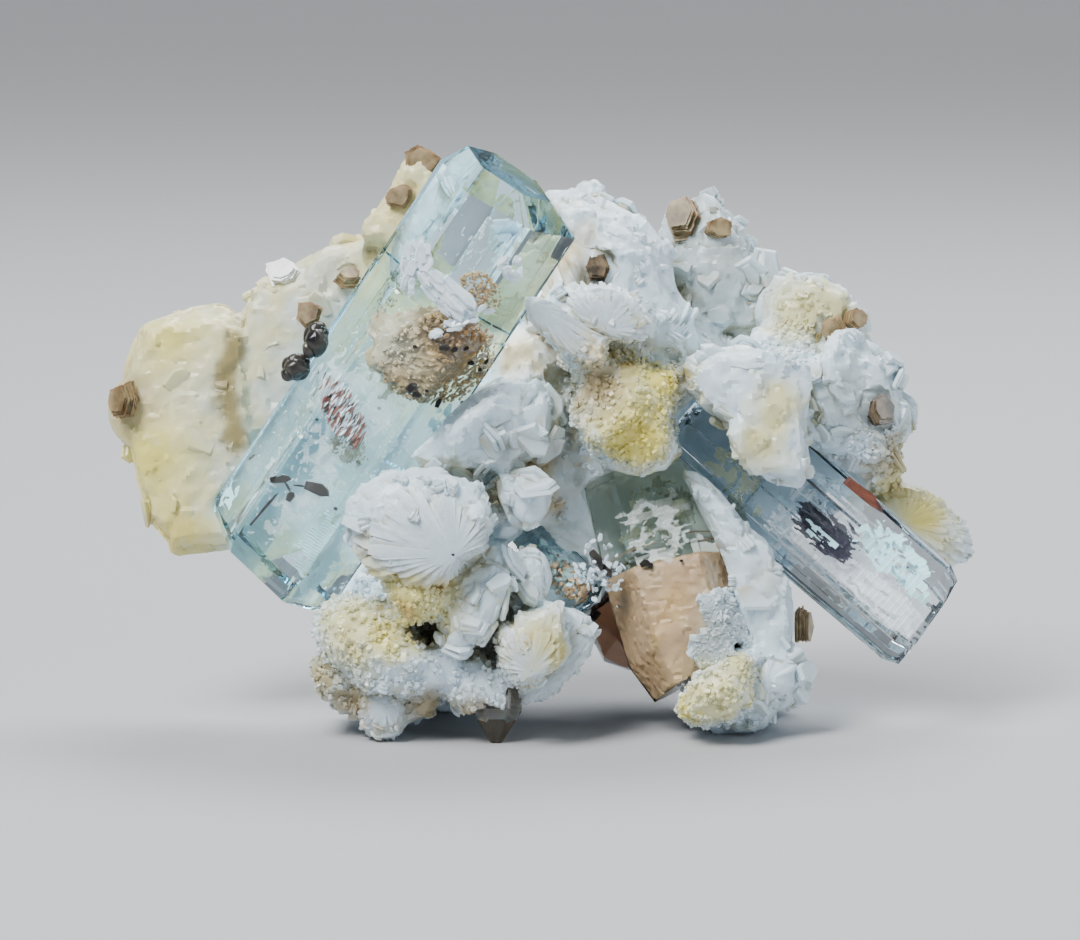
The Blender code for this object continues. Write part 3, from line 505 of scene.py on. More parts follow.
def paint(mesh, plain, stains_and_shade, seed):
    """Gives each point of the mesh its mineral's colour with the stains and spots of painted shade around
    it, as a colour attribute.
    """
    places = to_display(coordinates(mesh))
    colour = np.tile(np.array(plain), (len(places), 1))
    wobble = 1 + 0.45 * soft_noise(places, 2.2, seed) + 0.25 * soft_noise(places, 0.8, seed + 1)
    for centre, reach, shade in stains_and_shade:
        away = np.linalg.norm(places - np.array(centre), axis=1) / (reach * 1.15) * wobble
        share = np.clip(1.25 - away, 0, 1) ** 1.4
        share = np.clip(share, 0, 0.92)[:, None]
        colour = colour * (1 - share) + np.array(shade) * share
    mottle = 1 + 0.06 * soft_noise(places, 1.1, seed + 2) + 0.05 * soft_noise(places, 5.0, seed + 3)
    colour = np.clip(colour * mottle[:, None], 0, 1)
    layer = mesh.color_attributes.new("tint", "FLOAT_COLOR", "POINT")
    layer.data.foreach_set("color", np.concatenate([colour, np.ones((len(colour), 1))], 1).ravel())


# Materials

def shader_of(material):
    return material.node_tree.nodes["Principled BSDF"]


def new_material(name, **values):
    """A material with values on its shader's own sockets, an underscore for each space in their names."""
    material = bpy.data.materials.new(name)
    material.use_nodes = True
    shader = shader_of(material)
    for key, value in values.items():
        shader.inputs[key.replace("_", " ")].default_value = value
    return material


def noise_node(tree, scale, detail):
    """Noise over an object's own coordinates."""
    place = tree.nodes.new("ShaderNodeTexCoord")
    noise = tree.nodes.new("ShaderNodeTexNoise")
    noise.inputs["Scale"].default_value = scale
    noise.inputs["Detail"].default_value = detail
    tree.links.new(place.outputs["Object"], noise.inputs["Vector"])
    return noise


def add_bump(material, scale, strength, distance, detail=4.0):
    """Fine relief from noise."""
    tree = material.node_tree
    noise = noise_node(tree, scale, detail)
    bump = tree.nodes.new("ShaderNodeBump")
    bump.inputs["Strength"].default_value = strength
    bump.inputs["Distance"].default_value = distance
    tree.links.new(noise.outputs["Fac"], bump.inputs["Height"])
    tree.links.new(bump.outputs["Normal"], shader_of(material).inputs["Normal"])
    return noise


def give_two_shades(material, first, second, scale):
    """Colour that wanders between two shades, in patches of about 1 / scale metres."""
    tree = material.node_tree
    noise = noise_node(tree, scale, 5.0)
    ramp = tree.nodes.new("ShaderNodeValToRGB")
    low, high = ramp.color_ramp.elements
    low.position, high.position = 0.36, 0.64
    low.color, high.color = (*first, 1), (*second, 1)
    tree.links.new(noise.outputs["Fac"], ramp.inputs["Fac"])
    tree.links.new(ramp.outputs["Color"], shader_of(material).inputs["Base Color"])


def tinted_mineral(name, roughness, glow, radius):
    """A mineral whose colour comes from the mesh's own tint, a little see-through at its edges."""
    material = new_material(
        name, Roughness=roughness, Subsurface_Weight=glow, Subsurface_Scale=radius, IOR=FELDSPAR_IOR)
    shader_of(material).inputs["Subsurface Radius"].default_value = (1.0, 1.0, 1.0)
    tree = material.node_tree
    tint = tree.nodes.new("ShaderNodeAttribute")
    tint.attribute_name = "tint"
    tree.links.new(tint.outputs["Color"], shader_of(material).inputs["Base Color"])
    noise = add_bump(material, scale=900, strength=0.5, distance=0.00025)
    spread = tree.nodes.new("ShaderNodeMapRange")
    spread.inputs["To Min"].default_value = roughness - 0.18
    spread.inputs["To Max"].default_value = roughness + 0.16
    tree.links.new(noise.outputs["Fac"], spread.inputs["Value"])
    tree.links.new(spread.outputs["Result"], shader_of(material).inputs["Roughness"])
    return material


def clear_mineral(name, absorbed, density, roughness=0.02, ior=BERYL_IOR, bump=0.25):
    """See-through crystal: plain transmission, IOR and absorption values."""
    material = new_material(
        name, Base_Color=(1, 1, 1, 1), Roughness=roughness, IOR=ior, Transmission_Weight=1.0)
    tree = material.node_tree
    volume = tree.nodes.new("ShaderNodeVolumeAbsorption")
    volume.inputs["Color"].default_value = (*absorbed, 1)
    volume.inputs["Density"].default_value = density
    tree.links.new(volume.outputs["Volume"], tree.nodes["Material Output"].inputs["Volume"])
    add_bump(material, scale=260, strength=bump, distance=0.0001, detail=3.0)
    return material


def make_materials():
    """Every material, by name."""
    made = {
        "albite": tinted_mineral("albite", roughness=0.34, glow=0.3, radius=0.0012),
        "feldspar": tinted_mineral("feldspar", roughness=0.38, glow=0.3, radius=0.0012),
        "aquamarine": clear_mineral("aquamarine", (0.50, 0.84, 0.94), density=48),
        "blue_aquamarine": clear_mineral("blue_aquamarine", (0.60, 0.84, 0.96), density=26, bump=0.4),
        "clouded": clear_mineral("clouded", (0.66, 0.76, 0.64), density=70, roughness=0.05),
        "smoky": clear_mineral("smoky", (0.42, 0.24, 0.08), 420, roughness=0.06, ior=QUARTZ_IOR),
        "tan_quartz": clear_mineral("tan_quartz", (0.80, 0.66, 0.48), 170, roughness=0.12, ior=QUARTZ_IOR),
        "mica": new_material("mica", Base_Color=(0.25, 0.185, 0.085, 1), Roughness=0.4,
                             Specular_IOR_Level=0.45, Subsurface_Weight=0.3, Subsurface_Scale=0.0008),
        "pearl": new_material("pearl", Base_Color=(0.84, 0.86, 0.84, 1), Roughness=0.22, Coat_Weight=0.7),
        "dark_mica": new_material("dark_mica", Base_Color=(0.10, 0.075, 0.045, 1), Roughness=0.22,
                                  Coat_Weight=0.6),
        "tourmaline": new_material("tourmaline", Base_Color=(0.018, 0.018, 0.02, 1), Roughness=0.24),
        "veil": new_material("veil", Base_Color=(0.88, 0.97, 0.98, 1), Roughness=0.3, Alpha=0.24),
        # painted sheen: bright flakes that stand in for light reflected off fractures
        "painted_sheen": new_material("painted_sheen", Base_Color=(0.60, 0.93, 1.0, 1), Roughness=0.15, Coat_Weight=0.6,
                              Alpha=0.75),
        "frost": new_material("frost", Base_Color=(0.86, 0.92, 0.97, 1), Roughness=0.3, Alpha=0.36),
        "silk": new_material("silk", Base_Color=(0.74, 0.86, 0.94, 1), Roughness=0.25, Coat_Weight=0.3),
        "moss": new_material("moss", Base_Color=(0.18, 0.22, 0.14, 1), Roughness=0.5, Alpha=0.45),
        "plum": new_material("plum", Base_Color=(0.035, 0.035, 0.06, 1), Roughness=0.35, Alpha=0.72),
        "crust": tinted_mineral("crust", roughness=0.5, glow=0.25, radius=0.0008),
        "tan_cloud": new_material("tan_cloud", Base_Color=(0.62, 0.45, 0.27, 1), Roughness=0.6,
                                  Subsurface_Weight=0.3, Subsurface_Scale=0.001),
        "rust": new_material("rust", Base_Color=(0.20, 0.06, 0.04, 1), Roughness=0.4),
        "specks": new_material("specks", Base_Color=(0.012, 0.011, 0.01, 1), Roughness=0.4),
    }
    for name in ("mica", "pearl", "dark_mica", "tourmaline", "tan_cloud"):
        add_bump(made[name], scale=1200, strength=0.4, distance=0.0001)
    for name, first, second, scale in MOTTLED:
        give_two_shades(made[name], first, second, scale)
    return made


# Rock

def rounded(outline):
    """The outline with each corner cut once, so that it bends and doesn't kink."""
    cut = []
    for here, there in zip(outline, outline[1:] + outline[:1]):
        here, there = np.array(here, float), np.array(there, float)
        cut += [here * 0.78 + there * 0.22, here * 0.22 + there * 0.78]
    return np.array(cut)


def sampled(outline, spacing):
    """Points along the closed outline about as far apart as the spacing."""
    ahead = np.roll(outline, -1, 0)
    lengths = np.linalg.norm(ahead - outline, axis=1)
    points = []
    for start, end, length in zip(outline, ahead, lengths):
        count = max(1, round(length / spacing))
        points += [start + (end - start) * k / count for k in range(count)]
    return np.array(points)


def front_height(share, swell):
    """Height of a lobe's front above its rim, at a share of the way from its root to its edge."""
    return swell * (0.35 * (1 - share**2) + 0.65 * np.sqrt(1 - (0.96 * share) ** 6))


def slab(outline, root, rim, front, back, tooth, seed):
    """One massive slab with a toothed edge and a front in broad facets: its points and faces."""
    chance = random.Random(seed)
    edge = sampled(rounded(outline), EDGE_SPACING)
    root = np.array(root, float)
    count = len(edge)
    step, rise = np.zeros(count), np.zeros(count)
    k = 0
    while k < count:
        here = slice(k, k + chance.randint(2, 6))
        step[here] = chance.uniform(-1.0, 0.5) * tooth
        rise[here] = chance.uniform(-0.5, 0.5) * tooth
        k = here.stop
    offset = edge - root
    tip, swing = chance.uniform(-SLAB_LEAN, SLAB_LEAN), chance.uniform(0, math.tau)
    slope = math.tan(math.radians(tip)) * np.array([math.cos(swing), math.sin(swing)])
    fronts = [front_height(share, front) for share in SLAB_SHARES[2:]]
    heights = [-back, -0.3 * min(back, front), *fronts]
    ray = offset / np.linalg.norm(offset, axis=1)[:, None]
    rings = []
    for share, height in zip(SLAB_SHARES, heights):
        flat = root + (offset + ray * step[:, None]) * share
        high = rim + height + rise * share + (flat - root) @ slope
        places = np.concatenate([flat, high[:, None]], 1)
        if height > 0:
            squeezed = places * np.array([1, 1, 0.4])
            facets = 0.5 * grain_field(squeezed, FACET_SIZE, seed)
            places[:, 2] += facets + 0.1 * grain_field(squeezed, RIPPLE_SIZE, seed + 1)
        rings.append(places)
    points = np.concatenate([*rings, [[*root, rim - back]], [[*root, rim + front]]])
    faces = band_faces(count, len(rings))
    last, low, high = (len(rings) - 1) * count, len(points) - 2, len(points) - 1
    for i in range(count):
        j = (i + 1) % count
        faces.append((j, i, low))
        faces.append((last + i, last + j, high))
    return to_frame(points), faces


def slabs_of_lobe(outline, rim, front, back, number, root, tooth, seed):
    """The stacked slabs of one lobe, from the widest behind to the smallest in front."""
    chance = random.Random(seed)
    made = []
    for k in range(number):
        share = 1 - 0.6 * (k / number) ** 1.1
        shift = np.array([chance.uniform(-1, 1), chance.uniform(-1, 1)]) * 1.2 * (k > 0)
        middle = np.array(root) + shift
        scaled = [tuple(middle + (np.array(p) - np.array(root)) * share) for p in outline]
        depth = rim + front * 0.6 * k / number
        keep = back * 0.6 if k == 0 else front * 0.5 + 1
        made.append(slab(scaled, middle, depth, front * 0.5, keep, tooth, seed * 31 + k))
    return made


def wedge(root, rim, angle, wide, far, scale, front, lift, chance):
    """One narrow blade of a fan, from near its root out to a chisel tip: its points and faces."""
    way = np.array([math.cos(angle), math.sin(angle)])
    across = np.array([-way[1], way[0]])
    roll, ridge = chance.uniform(-0.06, 0.06), chance.uniform(-0.6, 0.6)
    crown, thickness = chance.uniform(0.02, 0.1), front * 0.3 + 1.3
    points = []
    for share, narrow in ((0.04, 1), (0.3, 1), (0.6, 1), (0.86, 1), (1.0, chance.uniform(0.25, 0.6))):
        half = (math.tan(wide / 2) * far * scale * share * 1.2 + 0.12) * narrow
        middle = root + way * far * scale * share
        top = rim + front_height(share * scale, front) + lift * share
        for offset, drop in ((-half, crown + roll), (ridge * half, 0), (half, crown - roll)):
            points.append([*(middle + across * offset), top - drop * min(half, 1)])
        points.append([*middle, top - thickness])
    return to_frame(np.array(points)), [face[::-1] for face in capped_faces(4, len(points) // 4)]


def fan(outline, rim, front, layers, root, tooth, seed):
    """A lobe as hands of narrow blades that spread from its root, one layer on another."""
    chance = random.Random(seed)
    root = np.array(root, float)
    offset = sampled(rounded(outline), 0.3) - root
    angles = np.arctan2(offset[:, 1], offset[:, 0])
    order = np.argsort(angles)
    angles, reach = angles[order], np.linalg.norm(offset, axis=1)[order]
    parts = []
    for layer in range(layers):
        scale = 1 - FAN_SHRINK * layer
        angle = chance.uniform(0, 0.2)
        while angle < math.tau + 0.2:
            wide = math.radians(chance.uniform(*FAN_WIDTHS))
            far = np.interp(angle + wide / 2, angles, reach, period=math.tau)
            far *= 1 - chance.uniform(0, 0.3) * tooth
            lift = layer * FAN_RISE + chance.uniform(-FAN_UNEVEN, FAN_UNEVEN)
            parts.append(wedge(root, rim, angle + wide / 2, wide, far, scale, front, lift, chance))
            angle += wide * FAN_STEP
    return parts


def join_parts(parts):
    """Points and faces of several closed shapes as one."""
    points, faces, start = [], [], 0
    for some_points, some_faces in parts:
        points.append(np.asarray(some_points))
        faces += [tuple(start + i for i in face) for face in some_faces]
        start += len(some_points)
    return np.concatenate(points), faces


def crystal_axes(foot, head):
    """A crystal's start, and its axes along, to the side and to the front."""
    start, end = on_display(*foot), on_display(*head)
    axis = (end - start).normalized()
    front = (OUT - axis * OUT.dot(axis)).normalized()
    return start, axis, front.cross(axis), front


def inside_crystal(points, spec, spare):
    """Which frame points lie within a crystal grown by a spare distance in millimetres."""
    foot, head, radius, rings = spec
    start, axis, side, front = crystal_axes(foot, head)
    offset = (points - np.array(start)) / MM
    along = offset @ np.array(axis)
    x, y = offset @ np.array(side), offset @ np.array(front)
    limit = radius * math.cos(math.radians(30)) + spare
    within = np.ones(len(points), bool)
    for k in range(6):
        angle = math.radians(30 + 60 * k)
        within &= x * math.cos(angle) + y * math.sin(angle) < limit
    return within & (along > rings[0][0] - spare) & (along < rings[-1][0] + spare)


def in_any_crystal(points, spare):
    """As inside_crystal, for all the crystals."""
    hit = np.zeros(len(points), bool)
    for spec in CRYSTALS.values():
        hit |= inside_crystal(points, spec, spare)
    return hit


def front_of(crystal, across, up):
    """How far out a crystal's front lies at places on the display face. It is nan beside the crystal."""
    depth = np.full(len(across), np.nan)
    for out in np.arange(-12, 30, 0.1):
        places = np.stack([across, up, np.full(len(across), out)], 1)
        depth = np.where(inside_crystal(to_frame(places), CRYSTALS[crystal], 0), out, depth)
    return depth


def prism(rings, foot, head, radius):
    """A plain hexagonal prism through rings: its points and faces."""
    start, axis, side, front = crystal_axes(foot, head)
    points = []
    for distance, share, side_slope, front_slope, slide in rings:
        for corner in range(6):
            x = math.cos(math.radians(60 * corner)) * radius
            y = math.sin(math.radians(60 * corner)) * radius
            along = distance + side_slope * x + front_slope * y
            points.append(start + (axis * along + side * (x * share + slide) + front * y * share) * MM)
    return [tuple(p) for p in points], capped_faces(6, len(rings))


def face_outward(mesh):
    """Turns every face of the mesh outward."""
    shape = bmesh.new()
    shape.from_mesh(mesh)
    bmesh.ops.recalc_face_normals(shape, faces=shape.faces)
    shape.to_mesh(mesh)
    shape.free()


def loose_object(name, points, faces):
    """A mesh object that isn't dressed yet."""
    mesh = bpy.data.meshes.new(name)
    mesh.from_pydata([tuple(p) for p in points], [], faces)
    face_outward(mesh)
    return placed(name, mesh)


def room_for_crystal(name):
    """A plain prism that cuts the rock free of a crystal."""
    foot, head, radius, rings = CRYSTALS[name]
    first, last = rings[0], rings[-1]
    grown = [(first[0] - SOCKET, *first[1:]), *rings[1:-1], (last[0] + SOCKET, *last[1:])]
    return loose_object("room", *prism(grown, foot, head, radius + SOCKET * 1.15))


def cut_free(parts, rooms):
    """The parts, each cut free of the crystals that it would reach into."""
    kept = []
    for points, faces in parts:
        hit = [room for crystal, room in rooms.items() if inside_crystal(points, CRYSTALS[crystal], 0).any()]
        if hit:
            obj = loose_object("slab", points, faces)
            for room in hit:
                cutter = obj.modifiers.new("Cut", "BOOLEAN")
                cutter.operation, cutter.object, cutter.solver = "DIFFERENCE", room, "EXACT"
            apply_modifiers(obj)
            points = coordinates(obj.data)
            faces = [tuple(p.vertices) for p in obj.data.polygons]
            bpy.data.objects.remove(obj, do_unlink=True)
        if len(points):
            kept.append((points, faces))
    return kept


def rock_piece(name, parts, material, slot_name, plain, stains_and_shade, seed, smooth_angle=20):
    """Closed shapes as one painted piece that stays above the resting plane."""
    points, faces = join_parts(parts)
    points[:, 2] = np.maximum(points[:, 2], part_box("albite")[0].z + 0.02 * MM)
    piece = new_piece(name, points, faces, material, smooth_angle)
    face_outward(piece.data)
    paint(piece.data, plain, stains_and_shade, seed)
    return piece


def rock_core(node, name, material, slot_name, plain, stains_and_shade, voxel, inset, grain, seed):
    """The CAD solid remeshed finely, drawn in a little and given a grainy surface."""
    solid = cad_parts[node]
    obj = placed(name, solid.data.copy())
    obj.data.transform(solid.matrix_world)
    add_remesh(obj, voxel)
    smooth = obj.modifiers.new("Smooth", "SMOOTH")
    smooth.factor, smooth.iterations = 0.5, 3
    apply_modifiers(obj)
    points, directions = coordinates(obj.data), normals(obj.data)
    places = to_display(points)
    facets = 0.9 * grain_field(places, 2.2, seed) + 0.6 * grain_field(places, 0.9, seed + 20)
    push = -inset + grain * facets
    push += grain * 0.5 * soft_noise(places, 4.0, seed + 40)
    behind = np.clip((-4 - places[:, 2]) / 4, 0, 1)
    push += behind * (1.1 * grain_field(places, 5.0, seed + 60) + 0.5 * grain_field(places, 1.8, seed + 80))
    push = np.where(in_any_crystal(points, 0.9), np.minimum(push, 0) * 0.2, push)
    points = points + directions * push[:, None] * MM
    points[:, 2] = np.maximum(points[:, 2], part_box("albite")[0].z)
    set_coordinates(obj.data, points)
    dress(obj, material, 24)
    paint(obj.data, plain, stains_and_shade, seed)
    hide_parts(node)
    return obj


# Small blades and grains, many at a time

def plate_shape():
    """A blade's points, each side within half of its size, and its faces."""
    outline = [(-0.3, -0.5), (0.34, -0.5), (0.5, 0.18), (0.24, 0.5), (-0.22, 0.4), (-0.5, 0.12)]
    rows = [(x, y, 0) for x, y in outline]
    rows += [(x * 0.8, y * 0.88, 0.5) for x, y in outline] + [(x * 0.8, y * 0.88, -0.5) for x, y in outline]
    faces = [tuple(range(6, 12)), tuple(range(17, 11, -1))]
    for i in range(6):
        j = (i + 1) % 6
        faces += [(i, j, j + 6, i + 6), (j, i, i + 12, j + 12)]
    return np.array(rows), faces


def grain_shape():
    """A skewed block's points and faces."""
    rows = [(-0.5, -0.4, -0.5), (0.4, -0.5, -0.42), (0.5, 0.4, -0.5), (-0.42, 0.5, -0.4),
            (-0.36, -0.3, 0.46), (0.3, -0.42, 0.5), (0.42, 0.3, 0.4), (-0.3, 0.4, 0.5)]
    faces = [(3, 2, 1, 0), (4, 5, 6, 7), (0, 1, 5, 4), (1, 2, 6, 5), (2, 3, 7, 6), (3, 0, 4, 7)]
    return np.array(rows), faces


def copies(shape, spots, axes, sizes):
    """Copies of a small shape at places on the display face. Axes are rows of side, length and normal."""
    rows, faces = shape
    local = rows[None] * sizes[:, None]
    places = np.einsum("npk,nkj->npj", local, axes) + spots[:, None]
    starts = np.arange(len(spots))[:, None] * len(rows)
    all_faces = []
    for face in faces:
        all_faces += [tuple(row) for row in (starts + np.array(face)).tolist()]
    return to_frame(places.reshape(-1, 3)), all_faces


def unit(rows):
    return rows / np.linalg.norm(rows, axis=1)[:, None]


def axes_from(length, normal):
    """Rows of side, length and normal from rough lengths and normals."""
    length = unit(length)
    side = unit(np.cross(length, normal))
    return np.stack([side, length, np.cross(side, length)], 1)


def tumbled(chance, number):
    """Axes in any direction."""
    return axes_from(chance.normal(size=(number, 3)), chance.normal(size=(number, 3)))


def surface_spots(mesh, count, seed):
    """Places drawn evenly over a mesh, and the way that its surface faces there."""
    mesh.calc_loop_triangles()
    corners = np.empty(len(mesh.loop_triangles) * 3, np.int64)
    mesh.loop_triangles.foreach_get("vertices", corners)
    triangles = to_display(coordinates(mesh))[corners.reshape(-1, 3)]
    cross = np.cross(triangles[:, 1] - triangles[:, 0], triangles[:, 2] - triangles[:, 0])
    area = np.linalg.norm(cross, axis=1)
    chance = np.random.default_rng(seed)
    picked = chance.choice(len(area), count, p=area / area.sum())
    first, second = chance.random(count), chance.random(count)
    folded = first + second > 1
    first, second = np.where(folded, 1 - first, first), np.where(folded, 1 - second, second)
    shares = np.stack([1 - first - second, first, second], 1)
    places = np.einsum("ns,nsk->nk", shares, triangles[picked])
    facing_out = cross[picked] / area[picked][:, None]
    points = to_frame(places)
    clear = (points[:, 2] > ROOTS_ABOVE) & ~in_any_crystal(points, ROOTS_ROOM)
    return places[clear], facing_out[clear], chance


def sugar_share(places):
    """How sugary the albite is at places, from 0 to 1. Behind it goes by noise."""
    share = np.clip(soft_noise(places, 9.0, 71) * 2 - 0.4, 0, 1)
    share = np.where(places[:, 2] > 2, 0, share)
    for across, up, reach in SUGAR_ZONES:
        away = np.hypot(places[:, 0] - across, places[:, 1] - up) / reach
        share = np.maximum(share, np.where(places[:, 2] > -4, np.clip((1.2 - away) * 3, 0, 1), 0))
    return share


def paint_crevice_shade_and_tan(rock, dressing):
    """Paints shade, with a tan stain, into the tint of rock pieces where they are shut in, by multiplying it
    by the crevice colour.

    The dressing, which is what grows on them, takes the painted shade of the rock beside it.
    """
    points, faces = join_parts([
        (coordinates(piece.data), [tuple(p.vertices) for p in piece.data.polygons]) for piece in rock])
    tree = BVHTree.FromPolygons(points.tolist(), faces)
    shares = [shut_in(piece.data, tree) for piece in rock]
    cells, which = np.unique(cell_numbers(points), return_inverse=True)
    level = np.bincount(which, np.concatenate(shares)) / np.bincount(which)
    for piece in dressing:
        numbers = cell_numbers(coordinates(piece.data))
        spot = np.clip(np.searchsorted(cells, numbers), 0, len(cells) - 1)
        shares.append(np.where(cells[spot] == numbers, level[spot], 0))
    for piece, share in zip((*rock, *dressing), shares):
        layer = piece.data.color_attributes["tint"].data
        flat = np.empty(len(layer) * 4, np.float32)
        layer.foreach_get("color", flat)
        colour = flat.reshape(-1, 4)
        # painted shade and tan: the more a point is shut in, the darker it is painted
        share = (0.9 * np.clip(share * 1.8 - 0.35, 0, 1))[:, None]
        colour[:, :3] *= 1 - share * (1 - np.array(CREVICE_SHADE_AND_TAN))
        layer.foreach_set("color", colour.ravel())


def cell_numbers(points):
    """One whole number for each point's cell of CREVICE_CELL millimetres."""
    cells = np.floor(points / (CREVICE_CELL * MM)).astype(np.int64)
    return (cells + 500) @ np.array([1000000, 1000, 1])


def grains_on(mesh, count, seed, low, high, wanted):
    """Sugary grains over a mesh where they are wanted."""
    places, facing_out, chance = surface_spots(mesh, count, seed)
    keep = chance.random(len(places)) < wanted(places)
    places, facing_out = places[keep], facing_out[keep]
    number = len(places)
    sizes = chance.uniform(low, high, (number, 1)) * chance.uniform(0.7, 1.2, (number, 3))
    lift = chance.uniform(-0.15, 0.4, (number, 1)) * sizes[:, :1]
    axes = tumbled(chance, number)
    return copies(grain_shape(), places + facing_out * lift, axes, sizes)


def blades_on(mesh, clusters, seed, kind, wanted):
    """Small stacks of blades, slightly fanned, that stand out of a mesh where they are wanted."""
    length, tilt, layers, broad, thickness = kind
    places, facing_out, chance = surface_spots(mesh, clusters, seed)
    keep = chance.random(len(places)) < wanted(places)
    places, facing_out = places[keep], facing_out[keep]
    number = len(places)
    sideways = unit(np.cross(facing_out, chance.normal(size=(number, 3))))
    lean = np.radians(chance.uniform(*tilt, (number, 1)))
    growth = facing_out * np.cos(lean) + sideways * np.sin(lean)
    level = facing_out * np.sin(lean) - sideways * np.cos(lean)
    swing = np.radians(chance.normal(0, 25, (number, 1)) + np.where(lean < 0.9, 60, 0))
    stack = level * np.cos(swing) + np.cross(growth, level) * np.sin(swing)
    reach = chance.uniform(*length, (number, 1))
    spots, axes, sizes = [], [], []
    for k in range(layers):
        step = k - (layers - 1) / 2
        opening = np.radians(step * chance.uniform(2, 7, (number, 1)))
        long_side = growth * np.cos(opening) + stack * np.sin(opening)
        flat_side = stack * np.cos(opening) - growth * np.sin(opening)
        size = reach * chance.uniform(0.6, 1.0, (number, 1))
        thick = chance.uniform(*thickness, (number, 1))
        sunk = chance.uniform(0.1, 0.3, (number, 1)) * np.cos(lean) * size
        spots.append(places + stack * step * thickness[0] * 0.95 - long_side * sunk)
        axes.append(axes_from(long_side, flat_side))
        sizes.append(np.concatenate([size * chance.uniform(*broad, (number, 1)), size, thick], 1))
    return copies(plate_shape(), np.concatenate(spots), np.concatenate(axes), np.concatenate(sizes))


def clear_of_others(part, shape):
    """Copies of a shape without those that reach into a crystal, a mica book or under the resting plane."""
    points, faces = part
    points_each, faces_each = len(shape[0]), len(shape[1])
    bad = in_any_crystal(points, GROWN_ROOM) | (points[:, 2] < ABOVE_PLANE)
    places = to_display(points)
    for centre, radius, *_ in MICA_BOOKS.values():
        bad |= np.linalg.norm(places - np.array(centre), axis=1) < radius * 1.05
    bad = bad.reshape(-1, points_each).any(1)
    kept = np.flatnonzero(~bad)
    places = points.reshape(-1, points_each, 3)[kept].reshape(-1, 3)
    number = len(bad)
    renumber = np.cumsum(~bad) - 1
    all_faces = []
    for k in range(faces_each):
        group = faces[k * number:(k + 1) * number]
        for i in kept:
            shift = (renumber[i] - i) * points_each
            all_faces.append(tuple(int(v + shift) for v in group[i]))
    return places, all_faces


# What lies in the crystals

def flakes(crystal, centre, half, turn, depths, number, size, heading, spread, seed):
    """Small plates below a crystal's front, in an ellipse on the display face: points and faces.

    Their long sides point along the heading, give or take the spread, both in degrees.
    """
    chance = np.random.default_rng(seed)
    radius, angle = np.sqrt(chance.random(number)), chance.random(number) * math.tau
    x, y = np.cos(angle) * radius * half[0], np.sin(angle) * radius * half[1]
    across, up = spots_beside(centre, x, y, turn)
    out = front_of(crystal, across, up) - chance.uniform(*depths, number)
    inside = ~np.isnan(out)
    spots = np.stack([across, up, out], 1)[inside]
    count = len(spots)
    way = np.radians(heading + chance.normal(0, spread, count))
    length = np.stack([np.cos(way), np.sin(way), chance.normal(0, 0.02 * spread, count) * 0.5], 1)
    normal = np.stack([chance.normal(0, 0.3, count), chance.normal(0, 0.3, count), np.ones(count)], 1)
    sizes = np.array(size) * chance.uniform(0.45, 1.1, (count, 1)) * chance.uniform(0.75, 1.2, (count, 3))
    return copies(plate_shape(), spots, axes_from(length, normal), sizes)


def lace(crystal, centre, half, turn, depth, cell, cover, grain, seed):
    """A thin ragged sheet with holes below a crystal's front, in an ellipse on the display face.

    The cover is the share that is left of it, and the grain the size of its patches along and across.
    """
    columns, rows = (math.ceil(reach * 1.15 / cell) for reach in half)
    x, y = np.meshgrid(np.arange(-columns, columns + 1) * cell, np.arange(-rows, rows + 1) * cell)
    rows, columns = x.shape
    x, y = x.ravel(), y.ravel()
    across, up = spots_beside(centre, x, y, turn)
    wave = np.stack([across, up, np.full(x.size, seed * 3.1)], 1)
    out = front_of(crystal, across, up) - depth + 0.35 * soft_noise(wave, 2.6, seed)
    patch = np.stack([x / grain[0], y / grain[1], np.full(x.size, seed * 1.7)], 1)
    warp = soft_noise(wave, 1.7, seed + 2), soft_noise(wave, 1.3, seed + 3), np.zeros(x.size)
    patch += 1.3 * np.stack(warp, 1)
    value = 0.5 + 0.35 * soft_noise(patch, 1.0, seed) + 0.3 * soft_noise(patch, 0.45, seed + 1)
    fade = np.hypot(x / half[0], y / half[1])
    kept = (value > 1 - cover + 0.5 * np.clip(fade - 0.55, 0, 1) / 0.45) & ~np.isnan(out) & (fade < 1.1)
    kept = kept.reshape(rows, columns)
    kept = kept[:-1, :-1] & kept[1:, :-1] & kept[:-1, 1:] & kept[1:, 1:]
    places = np.stack([across, up, np.nan_to_num(out)], 1)
    points = np.concatenate([places, places - np.array([0, 0, cell * 0.25])])
    faces = []
    for r, c in np.argwhere(kept):
        a = int(r * columns + c)
        ring = (a, a + 1, a + columns + 1, a + columns)
        faces += [ring, tuple(v + x.size for v in ring[::-1])]
        beside = ((r - 1, c), (r, c + 1), (r + 1, c), (r, c - 1))
        for side, (p, q) in enumerate(beside):
            if not (0 <= p < kept.shape[0] and 0 <= q < kept.shape[1] and kept[p, q]):
                v, w = ring[side], ring[(side + 1) % 4]
                faces.append((v + x.size, w + x.size, w, v))
    used = sorted({v for face in faces for v in face})
    renumber = {v: k for k, v in enumerate(used)}
    return to_frame(points[used]), [tuple(renumber[v] for v in face) for face in faces]


def marks(crystal, rows, thickness, depth, seed):
    """Single plates below a crystal's front. Rows are (across, up, length, width, heading in degrees)."""
    chance = np.random.default_rng(seed)
    rows = np.array(rows, float)
    out = front_of(crystal, rows[:, 0], rows[:, 1]) - depth
    spots = np.stack([rows[:, 0], rows[:, 1], out], 1)
    way = np.radians(rows[:, 4])
    length = np.stack([np.cos(way), np.sin(way), chance.normal(0, 0.1, len(rows))], 1)
    normal = np.tile((0.0, 0.0, 1.0), (len(rows), 1))
    sizes = np.stack([rows[:, 3], rows[:, 2], np.full(len(rows), thickness)], 1)
    return copies(plate_shape(), spots, axes_from(length, normal), sizes)


